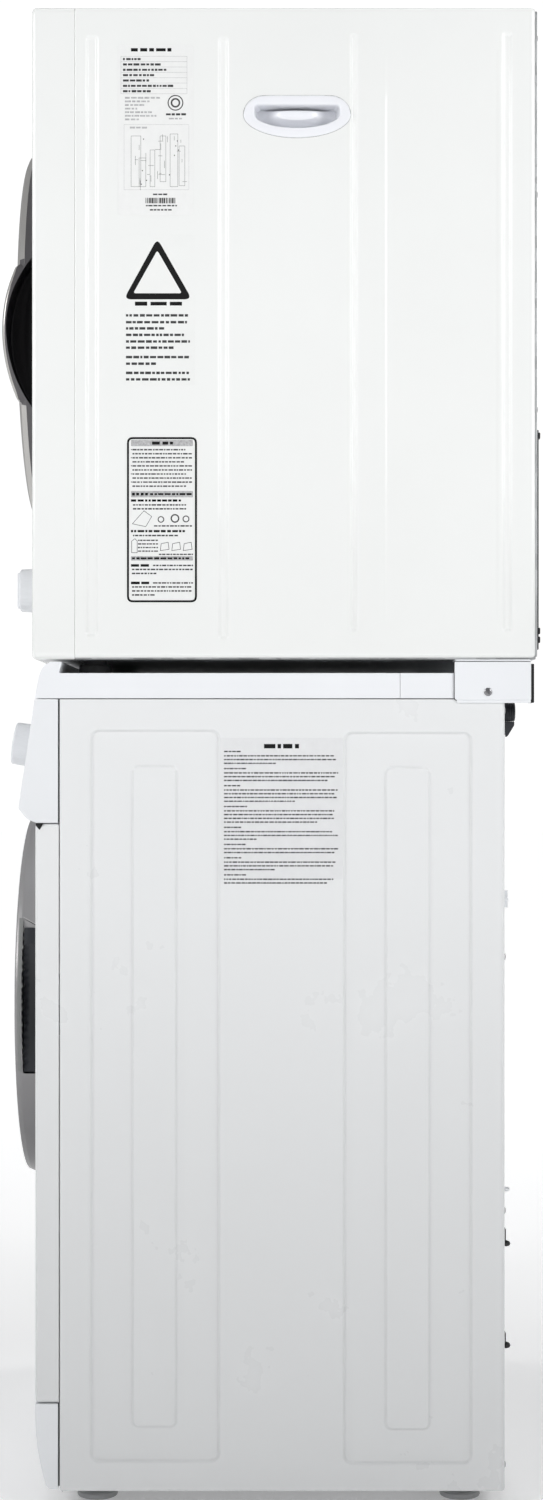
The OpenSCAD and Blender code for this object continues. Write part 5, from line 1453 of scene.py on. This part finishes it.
def rear():
    # washer service cover: a shallow pan with pressed ribs, and the upper louvred plate
    P = Part()
    rows = []

    def pan(x0, x1, z0, z1, y0, h, steps, slots=None):
        loops = []
        for ins, y in ((0, y0), (0, y0 + 0.9), (1.2, y0 + 1.4), (8, y0 + 1.4), (10, y0 + h), (13, y0 + h)):
            loops.append([(x, y, z) for x, z in rrect(x0 + ins, x1 - ins, z0 + ins, z1 - ins, 12 - ins * 0.5, 6)])
        for ins, y in steps:
            loops.append([(x, y, z) for x, z in rrect(x0 + ins, x1 - ins, z0 + ins, z1 - ins, 7, 6)])
        Q = Part().loft(loops)
        if slots:
            return carve(Q, slots)
        return Q.bm()
    b = pan(-215, 215, 80, 600, 243.1, 3.2, ((30, 246.3), (33, 245.2), (90, 245.2), (94, 246.3)))
    emit(b, "washer_back_cover", GALV, "cabinets", ["washer_rear_cover"], 34)
    slots = []
    for i in range(-4, 5):
        slots.append(Part().prism(rrect(i * 22 - 3, i * 22 + 3, 640, 760, 2.9, 4), "y", 244.6, 256, 0))
    b = pan(-215, 215, 605, 802, 243.1, 6.2, ((20, 249.3),), slots)
    emit(b, "washer_back_vent", GALV, "cabinets", (), 34)

    # inlets, drain spout, plugs, clips
    P = Part()
    for x in (215, 255):
        th = [(6.2, 243), (11.4, 243), (11.6, 243.6), (11.6, 245.6), (10.2, 246.2)]
        for k in range(5):
            y = 247 + k * 1.9
            th += [(9.3, y), (10.0, y + 0.6), (10.0, y + 1.1), (9.3, y + 1.7)]
        th += [(9.2, 256.9), (6.4, 257.0), (6.2, 256.6)]
        P.lathe(th, x, 811, 48, m=0)
        P.lathe([(0, 246), (6.1, 246), (6.1, 247), (0, 247)], x, 811, 32, m=1)
        for k in range(6):
            a = math.radians(60 * k)
            P.box(-5.8, 5.8, -0.35, 0.35, -0.4, 0.4, 0, 1, Matrix.Translation((x, 248, 811)) @ Matrix.Rotation(a, 4, "Y"))
    # strain clip under the inlets
    for x in (215, 255):
        P.prism(fillet([(243.1, 801), (256.6, 801), (256.4, 797), (250, 786.5), (247.6, 784.5), (247.2, 791), (243.1, 787)], 0.8, 3), "x", x - 3, x + 3, 0.5, 2)
    emit(P, "water_inlets", [DARKP, PUMPP], "cabinets", ["inlet_valve"], 34)
    P = Part()
    for x, z, r in ((-234, 616, 14), (234, 616, 14), (-232, 267, 13), (232, 267, 13)):
        top = 247.4 if r == 14 else 246.9
        P.lathe([(0, 242.6), (9, 242.6), (9, 243.1), (r, 243.1), (r, 244.6), (r - 1.2, top - 0.9), (r - 3.4, top), (5, top - 0.4), (4.4, top - 1.4), (0, top - 1.5)], x, z, 48, m=1 if r == 14 else 0)
        if r == 14:
            P.box(x - 1.4, x + 1.4, top - 1.6, top + 4.6, z - 9, z + 9, 0.7, 1)
            P.box(x - 9, x + 9, top - 1.6, top + 4.6, z - 1.4, z + 1.4, 0.7, 1)
    P.lathe(fillet([(8.1, 243.1), (14, 243.1), (14, 245.8, 0.6), (11.2, 246.4), (10.2, 249.0), (11, 250.2), (10.2, 252.6), (11, 253.8), (10.2, 255.6), (9.4, 256.0, 0.3), (8.1, 256.0, 0.3)], 0.4, 2), -262, 640, 48, m=0)
    for z, up, mi in ((157, 14, 0), (262, 16, 0), (318, 0, 1)):
        P.prism(fillet([(255.4, z - 6), (271.6, z - 6), (271.6, z + 6), (255.4, z + 6)], 2, 3), "y", 243.1, 244.8, 0.4, 2, m=mi)
        P.tube([(263 + 6.0 * math.cos(math.radians(a)), 246.8 + 2.9 * math.sin(math.radians(a)), z) for a in range(-60, 241, 20)], 2.1 if mi == 0 else 1.5, 8, mi)
        if up:
            P.prism(fillet([(258, z + 3), (270, z + 3), (270, z + up), (258, z + up)], 1.5, 3), "y", 243.1, 246.6, 0.6, 2, m=mi)
    emit(P, "rear_fittings", [BRUB, PLA], "cabinets", ["rear_plugs"], 34)

    # dryer back: plate with intake louvres, then the dark duct cover with its collar
    plate = Part().prism(rrect(-297.6, 297.6, 866.5, 1525.4, 6, 5), "y", 272.4, 275.9, 0.7, 2)
    cuts = [Part().prism(circle(54.4, 96, 40, 965), "y", 268, 280, 0)]
    for i in range(8):
        cuts.append(Part().prism(rrect(80, 180, 1280 + i * 14, 1285 + i * 14, 2.4, 3), "y", 270, 280, 0))
    b = carve(plate, cuts)
    emit(b, "dryer_back", GALV, "cabinets", ["dryer_rear_panel"], 34)
    P = Part()
    for i in range(8):
        z = 1280 + i * 14
        P.loft([[(x, 275.0 + d, z + 6.6 - h) for d, h in ((0.0, 0.0), (0.7, 0.6), (0.9, 2.6), (0.4, 2.8), (0.2, 1.4), (-0.6, 0.9))] for x in (82, 90, 130, 170, 178)])
    P.lathe(fillet([(20, 275.6), (34, 275.6), (30, 276.9, 1), (20, 277.2, 1)], 0.3, 2), 0, DZ, 64)
    P.lathe([(0, 275.6), (20.5, 275.6), (20.5, 277.0), (12, 277.4), (0, 277.5)], 0, DZ, 48)
    for s in (-1, 1):
        P.box(s * 150 - 60, s * 150 + 60, 275.4, 276.6, 1180, 1186, 0.5)
        P.box(s * 150 - 60, s * 150 + 60, 275.4, 276.6, 1460, 1466, 0.5)
    emit(P, "dryer_back_details", GALV, "cabinets", (), 34)
    cov = Part().prism(rrect(-240, 240, 872, 1097, 8, 6), "y", 275.9, 278.0, 0.6, 2)
    cuts = [Part().prism(circle(51.2, 96, 40, 965), "y", 268, 284, 0)]
    for i in range(6):
        cuts.append(Part().prism(rrect(120, 210, 905 + i * 14, 910 + i * 14, 2.4, 3), "y", 270, 284, 0))
    b = carve(cov, cuts)
    t = Part()
    for sx in (-1, 1):
        t.prism(rrect(*sorted((sx * 286, sx * 297.4)), 874, 1098, 2, 3), "y", 275.8, 277.2, 0.3, 2)
        for z in (884, 893, 1092):
            t.prism(rrect(*sorted((sx * 288, sx * 297.6)), z - 3.2, z + 3.2, 1.4, 3), "y", 275.8, 278.9, 0.6, 2)
    emit(t, "duct_cover_trim", DARK_TRIM_SHADE, "cabinets", (), 34)
    emit(b, "duct_cover", DARKP, "cabinets", ["dryer_rear_cover"], 34)
    c = Part().lathe(fillet([(51.2, 246.4), (53.8, 246.4), (53.8, 274.0, 0.5), (57.0, 276.4, 0.8), (57.0, 278.6, 0.6), (52.6, 278.8, 0.6), (51.2, 277.6, 0.5)], 0.4, 3), 40, 965, 120)
    emit(c, "exhaust_duct_collar", GALV, "cabinets", (), 34)


def feet():
    P = Part()
    for x in (-255, 255):
        for y in (-175, 200):
            P.lathe([(0, 0.02), (18.6, 0.02), (20.4, 0.8), (21, 2.4), (20.6, 5.6), (18.8, 7.4), (13, 8.2), (9, 8.6), (0, 8.6)], x, y, 72, "z", 0)
            P.lathe([(0, 8.2), (12.4, 8.2), (12.9, 8.8), (12.9, 11.4), (12.2, 12.0), (0, 12.0)], x, y, 6, "z", 1)
            P.lathe([(0, 14.1), (8.5, 14.1), (8.9, 14.6), (8.9, 17.5), (8.4, 18.0), (0, 18.0)], x, y, 6, "z", 1)
            th = [(0, 11.6)]
            for k in range(12):
                z = 12.2 + k * 1.6
                th += [(4.6, z), (5.0, z + 0.5), (5.0, z + 0.8), (4.6, z + 1.3)]
            th += [(4.4, 33), (0, 33)]
            P.lathe(th, x, y, 24, "z", 1)
    for x in (-250, 250):
        for y in (-178, 218):
            P.lathe([(0, 850.05), (15.6, 850.05), (16.8, 851), (17, 853), (16.6, 858.6), (15, 860.2), (12, 860.6), (12, 863.9), (0, 863.9)], x, y, 56, "z", 2)
    emit(P, "levelling_feet", [FOOT, ZINC, BRUB], "cabinets", ["feet"], 34)


# ------------------------------------------------------------------ greeked labels

def text_line(P, x, y0, y1, z, h, m=1, dens=0.9, fill=1.0):
    """a row of word-length bars, right-hand side seen from +X; y0 is its left end"""
    y = y0
    end = y0 + (y1 - y0) * fill
    while y < end - 1.2:
        w = RNG.uniform(2.2, 7.6) * dens
        w = min(w, end - y)
        if w > 0.9:
            hh = h * RNG.uniform(0.86, 1.0)
            P.box(x, x + 0.05, y, y + w, z - hh / 2, z + hh / 2, 0, m)
        y += w + RNG.uniform(1.0, 1.7) * dens


def paragraph(P, x, y0, y1, ztop, pitch, count, h, m=1, last=0.6, dens=0.9):
    for k in range(count):
        text_line(P, x, y0, y1, ztop - k * pitch, h, m, dens, last if k == count - 1 else RNG.uniform(0.93, 1.0))
    return ztop - count * pitch


def outline(P, x, r4, rad, w, m=1, t=0.05):
    o = rrect(*r4, rad, 4)
    P.frame2(o, inset(o, w), "x", x, x + t, 0.01, m, None, 1)


def px_y(px):
    return (px - 266.6) * 1.018


def px_z(py):
    return 850 - (py - 673) * 1.018


def labels():
    x = HD
    # rating plate: heading, ruled table, a round mark, a diagram and a bar code
    P = Part()
    P.prism(rrect(-151, -75, 1316, 1489, 3, 4), "x", x, x + 0.2, 0.05, 1, 0)
    xs = x + 0.19
    text_line(P, xs, px_y(131), px_y(174), px_z(50), 3.6, 1, 1.5)
    for k in range(8):
        z = px_z(56.5 + k * 5.35)
        P.box(xs, xs + 0.04, px_y(121), px_y(187), z - 0.14, z + 0.14, 0, 3)
    for yy in (121, 187):
        P.box(xs, xs + 0.04, px_y(yy) - 0.15, px_y(yy) + 0.15, px_z(94), px_z(56.5), 0, 3)
    for k, fl in enumerate((0.28, 0.62, 0.72, 0.5, 0.45, 0.82, 0.46)):
        text_line(P, xs, px_y(123), px_y(186), px_z(59.3 + k * 5.35), 2.3, 2, 0.8, fl)
    for k, fl in enumerate((1.0, 0.7, 0.55, 0.35, 0.8, 0.9, 0.4)):
        text_line(P, xs, px_y(125), px_y(160), px_z(98 + k * 3.6), 1.9, 3, 0.8, fl)
    P.prism(circle(8.0, 40, px_y(175.5), px_z(103)), "x", xs, xs + 0.03, 0, 1, 2)
    P.prism(circle(6.9, 40, px_y(175.5), px_z(103)), "x", xs + 0.02, xs + 0.045, 0, 1, 0)
    P.prism(circle(4.9, 32, px_y(175.5), px_z(103)), "x", xs + 0.04, xs + 0.06, 0, 1, 2)
    P.prism(circle(3.2, 32, px_y(175.5), px_z(103)), "x", xs + 0.05, xs + 0.07, 0, 1, 0)
    text_line(P, xs, px_y(166), px_y(186), px_z(114.5), 2.2, 2, 0.8)
    text_line(P, xs, px_y(169), px_y(183), px_z(118.8), 1.6, 3, 0.7)
    outline(P, xs, (px_y(124), px_y(189), px_z(190), px_z(124.5)), 0.4, 0.22, 3)
    text_line(P, xs, px_y(130), px_y(148), px_z(127.8), 1.9, 3, 0.8)
    # wiring diagram as plain boxes and rules
    for (a, b2, c, d) in ((131, 141, 187, 136), (139, 146, 187, 158), (150, 155, 187, 150), (160, 166, 182, 136), (170, 178, 187, 134), (179, 185, 186, 146)):
        outline(P, xs, (px_y(a), px_y(b2), px_z(c), px_z(d)), 0.3, 0.3, 2)
    for k in range(26):
        yy = px_y(RNG.uniform(128, 185))
        zz = px_z(RNG.uniform(133, 186))
        if RNG.random() < 0.5:
            P.box(xs, xs + 0.045, yy, yy + RNG.uniform(2, 7), zz, zz + 0.32, 0, 2)
        else:
            P.box(xs, xs + 0.045, yy, yy + 0.32, zz - RNG.uniform(3, 10), zz, 0, 2)
    for k in range(9):
        yy, zz = px_y(RNG.uniform(129, 183)), px_z(RNG.uniform(135, 185))
        P.box(xs, xs + 0.05, yy, yy + 1.1, zz, zz + 1.1, 0, 2)
    text_line(P, xs, px_y(153), px_y(168), px_z(194.5), 1.7, 2, 0.7)
    y = px_y(145.5)
    while y < px_y(176):
        w = RNG.choice((0.45, 0.45, 0.9, 1.3))
        P.box(xs, xs + 0.05, y, y + w, px_z(203.5), px_z(198), 0, 1)
        y += w + RNG.choice((0.35, 0.5, 0.9))
    text_line(P, xs, px_y(146), px_y(177), px_z(205.8), 1.5, 2, 0.6)
    text_line(P, xs, px_y(150), px_y(172), px_z(210), 1.6, 2, 0.7)
    emit(P, "rating_label", [PAPER, INK, INKD, INK_LIGHT_AND_SHADOW_LINE], "cabinets", ["labels"], 30)

    # clear film with a plain empty triangle and greeked text
    P = Part()
    P.prism(rrect(-147, -73, 1143, 1296, 3, 4), "x", x, x + 0.12, 0.04, 1, 0)
    xs = x + 0.11
    tri = [(px_y(157.3), px_z(238.5), 4.0), (px_y(192), px_z(299.5), 4.5), (px_y(123.8), px_z(299.5), 4.5)]
    o = fillet(tri, 4, 6)
    P.prism(o, "x", xs, xs + 0.05, 0, 1, 1)
    P.prism(fillet([(px_y(157.3), px_z(250.5), 1.6), (px_y(182.0), px_z(293.4), 1.6), (px_y(133.2), px_z(293.4), 1.6)], 2, 5), "x", xs + 0.04, xs + 0.09, 0, 1, 0)
    text_line(P, xs, px_y(135), px_y(182), px_z(303.8), 4.2, 1, 2.2)
    rows = (315.5, 322.3, 328.5, 335.0, 341.6, 347.8, 357.2, 363.8, 373.0, 379.5)
    ends = (188, 187, 166, 184, 190, 176, 189, 156, 189, 190)
    for py, e in zip(rows, ends):
        text_line(P, xs, px_y(126), px_y(e), px_z(py), 2.7, 2, 0.95)
    emit(P, "caution_film", [FILM, INK, INKD], "cabinets", (), 30)

    # framed notice: black border, three headed blocks of greeked text and blank pictograms
    P = Part()
    P.prism(rrect(-143, -71, 921, 1090, 5, 5), "x", x, x + 0.2, 0.05, 1, 0)
    xs = x + 0.19
    outline(P, xs, (px_y(127.0), px_y(197.0), px_z(602.4), px_z(437.2)), 6, 2.1, 1)
    P.prism(rrect(px_y(131), px_y(193), px_z(446.2), px_z(440.0), 0.8, 3), "x", xs, xs + 0.04, 0, 1, 3)
    text_line(P, xs + 0.03, px_y(152), px_y(173), px_z(443.2), 3.3, 1, 1.6)
    for k in range(10):
        text_line(P, xs, px_y(132.5), px_y(192), px_z(449.8 + k * 4.05), 1.55, 2, 0.62, 1.0 if k % 3 else 0.9)
        if k % 2 == 0:
            P.box(xs, xs + 0.04, px_y(131), px_y(131) + 0.9, px_z(450.2 + k * 4.05), px_z(449.2 + k * 4.05), 0, 1)
    P.prism(rrect(px_y(131), px_y(193), px_z(497.4), px_z(491.0), 0.8, 3), "x", xs, xs + 0.04, 0, 1, 3)
    text_line(P, xs + 0.03, px_y(132), px_y(148), px_z(494.2), 3.0, 1, 1.2)
    text_line(P, xs + 0.03, px_y(150), px_y(192), px_z(494.2), 2.1, 1, 0.9)
    text_line(P, xs, px_y(131), px_y(181), px_z(500.6), 2.4, 1, 0.9)
    for k in range(2):
        text_line(P, xs, px_y(133), px_y(192), px_z(505.0 + k * 3.9), 1.6, 2, 0.62, 0.9)
    # blank pictograms
    for (yc, zc, r) in ((161, 519.5, 4.2), (175, 518.5, 5.6), (186, 519, 4.4)):
        P.prism(circle(r * 0.8, 28, px_y(yc), px_z(zc)), "x", xs, xs + 0.03, 0, 1, 2)
        P.prism(circle(r * 0.55, 28, px_y(yc), px_z(zc)), "x", xs + 0.02, xs + 0.045, 0, 1, 0)
    o = [(px_y(132), px_z(524)), (px_y(144), px_z(510.5)), (px_y(152), px_z(516.5)), (px_y(146), px_z(527.0))]
    P.prism(o, "x", xs, xs + 0.03, 0, 1, 2)
    P.prism(inset(o, 0.5), "x", xs + 0.02, xs + 0.045, 0, 1, 0)
    text_line(P, xs, px_y(154), px_y(192), px_z(526.0), 1.5, 2, 0.6)
    text_line(P, xs, px_y(131), px_y(185), px_z(531.2), 2.4, 1, 0.9)
    text_line(P, xs, px_y(133), px_y(178), px_z(535.6), 1.6, 2, 0.62)
    for k in range(4):
        text_line(P, xs, px_y(138), px_y(158), px_z(540.4 + k * 3.6), 1.4, 2, 0.55)
    o = [(px_y(131.5), px_z(553)), (px_y(131.5), px_z(541)), (px_y(135), px_z(538.5)), (px_y(137.5), px_z(541)), (px_y(137.5), px_z(553))]
    P.prism(o, "x", xs, xs + 0.03, 0, 1, 2)
    P.prism(inset(o, 0.5), "x", xs + 0.02, xs + 0.045, 0, 1, 0)
    for k in range(3):
        y0 = 160 + k * 11.5
        o = [(px_y(y0), px_z(551)), (px_y(y0 + 1), px_z(543.5)), (px_y(y0 + 8.4), px_z(542)), (px_y(y0 + 9.4), px_z(549.6))]
        P.prism(o, "x", xs, xs + 0.03, 0, 1, 2)
        P.prism(inset(o, 0.55), "x", xs + 0.02, xs + 0.045, 0, 1, 0)
    text_line(P, xs, px_y(159), px_y(193), px_z(554.4), 1.4, 2, 0.6)
    P.prism(rrect(px_y(131), px_y(193), px_z(560.6), px_z(556.2), 0.8, 3), "x", xs, xs + 0.04, 0, 1, 3)
    text_line(P, xs + 0.03, px_y(132), px_y(191), px_z(558.4), 2.1, 1, 0.8)
    for k, (hd, n2) in enumerate(((1, 4), (1, 5))):
        z0 = 565.5 if k == 0 else 583.0
        text_line(P, xs, px_y(131), px_y(150), px_z(z0), 2.6, 1, 1.2)
        text_line(P, xs, px_y(153), px_y(193), px_z(z0), 1.6, 2, 0.62)
        for j in range(1, n2 - 1):
            text_line(P, xs, px_y(132), px_y(193), px_z(z0 + j * 4.0), 1.6, 2, 0.62, 1.0 if j < n2 - 2 else 0.4)
    emit(P, "notice_label", [PAPER, INK, INKD, INK_LIGHT_AND_SHADOW_LINE], "cabinets", (), 30)

    # washer sheet
    P = Part()
    x = HW
    P.prism(rrect(-47.2, 77.6, 640, 784, 1, 3), "x", x, x + 0.2, 0.05, 1, 0)
    xs = x + 0.19
    text_line(P, xs, px_y(264), px_y(301), px_z(746.2), 4.6, 1, 1.6)
    z = 751.5
    for lines_, last in ((1, 0.15), (3, 0.45), (1, 0.2), (3, 0.9), (1, 0.14), (4, 0.62), (1, 0.2), (4, 0.82), (1, 0.16), (3, 0.3), (1, 0.2), (2, 0.96), (1, 0.15), (3, 0.45), (1, 0.2), (2, 0.9)):
        for k in range(lines_):
            head = lines_ == 1
            text_line(P, xs, px_y(224), px_y(339), px_z(z), 1.45, 2, 0.62, last if k == lines_ - 1 else RNG.uniform(0.95, 1.0))
            z += 3.75
        z += 0.6 if lines_ == 1 else 1.5
    emit(P, "washer_notice", [SHEETP, INK, INKD, INKG], "cabinets", (), 30)


# ------------------------------------------------------------------ what is carried over from CAD

def carried():
    table = {
        "washer_base": GALV, "dryer_base": GALV, "front_bulkhead": GALV, "dryer_heater": GALV, "blower_housing": GALV,
        "control_board": PCB, "detergent_housing": PUMPP, "suspension_springs": ZINC, "damper_cylinders": MOTOR,
        "drain_pump": PUMPP, "door_hinges": CAST, "door_lock": DARKP, "dryer_motor": MOTOR, "dryer_belt": BELT,
        "dryer_timer": PUMPP, "tub_front": TUBP, "tub_rear": TUBP, "counterweights": CONC, "drum_bearings": STEEL,
        "washer_motor": MOTOR, "washer_belt": BELT, "damper_rods": STEEL, "washer_drum": STAIN, "drum_lifters": TUBP,
        "drum_spider": CAST, "motor_rotor": COPPER, "pump_filter": DARKP, "dryer_drum": STAIN, "blower_fan": MOTOR,
        "idler_pulley": PUMPP, "lint_filter": GRIP,
    }
    for n, mt in table.items():
        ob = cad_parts[n]
        ob.data.materials.clear()
        ob.data.materials.append(mt.m)
        for p in ob.data.polygons:
            p.material_index = 0


add_camera()
washer_shell()
dryer_shell()
washer_front()
dryer_front()
worktop()
fascia()
kick()
washer_door()
gasket()
dryer_door()
controls()
drawer()
screws()
brackets()
side_grips()
rear()
feet()
labels()
carried()


# ------------------------------------------------------------------ stage

def stage():
    add_world()
    for side, y in (("back", 1.75), ("front", -1.75)):
        area("key_" + side, (1.75, y, 1.75), (0.3, 0.0, 1.0), (1.1, 1.1), 5.5, 78, glossy=False)
        area("glint_" + side, (1.75, y, 1.70), (0.3, 0.0, 1.0), (1.1, 0.95), 5.1, 78, diffuse=False)
    area("front_fill", (-0.9, -2.9, 2.3), (0.0, 0.0, 0.9), (1.6, 1.2), 16, 150, glossy=False)
    area("front_glint", (-0.9, -2.9, 2.3), (0.0, 0.0, 0.9), (1.6, 1.2), 7, 150, diffuse=False)
    area("rear_fill", (-1.9, 2.5, 2.4), (0.0, 0.0, 0.9), (1.6, 1.2), 18, 150, glossy=False)
    area("rear_glint", (-1.9, 2.5, 1.5), (0.0, 0.0, 0.9), (1.4, 0.9), 3, 150, diffuse=False)
    area("top_soft", (-0.15, 0.0, 3.3), (-0.15, 0.0, 0.0), (1.5, 1.5), 11, 120, glossy=False)
    b = bmesh.new()
    rings = [0.0, 0.35, 0.7, 1.1, 1.6, 2.3, 3.4, 5, 8, 13, 20]
    n = 64
    prev = None
    c = b.verts.new((0, 0, 0))
    for r in rings[1:]:
        cur = [b.verts.new((r * math.cos(2 * math.pi * i / n), r * math.sin(2 * math.pi * i / n), 0)) for i in range(n)]
        for i in range(n):
            k = (i + 1) % n
            if prev is None:
                b.faces.new((c, cur[i], cur[k]))
            else:
                b.faces.new((prev[i], cur[i], cur[k], prev[k]))
        prev = cur
    me = bpy.data.meshes.new("floor")
    b.to_mesh(me)
    b.free()
    fl = Mat("floor_sweep", (0.86, 0.86, 0.865), 0.75)
    fl.tint(fl.noise(1.4, 3.0), 0.985, 1.0)
    # the floor glows, weakly near the machine and more strongly farther out: painted light, with a painted darker area
    # round the machine
    d = fl.node("ShaderNodeVectorMath", operation="LENGTH")
    fl.link(fl.tc.outputs["Object"], d.inputs[0])
    fl.b.inputs["Emission Color"].default_value = (1, 1, 1, 1)
    fl.link(fl.range(d.outputs["Value"], 0.22, 0.80, 0.5, 3.2), fl.b.inputs["Emission Strength"])
    me.materials.append(fl.m)
    ob = bpy.data.objects.new("floor", me)
    SCENE.collection.objects.link(ob)
    SCENE.view_settings.view_transform = "Standard"


stage()
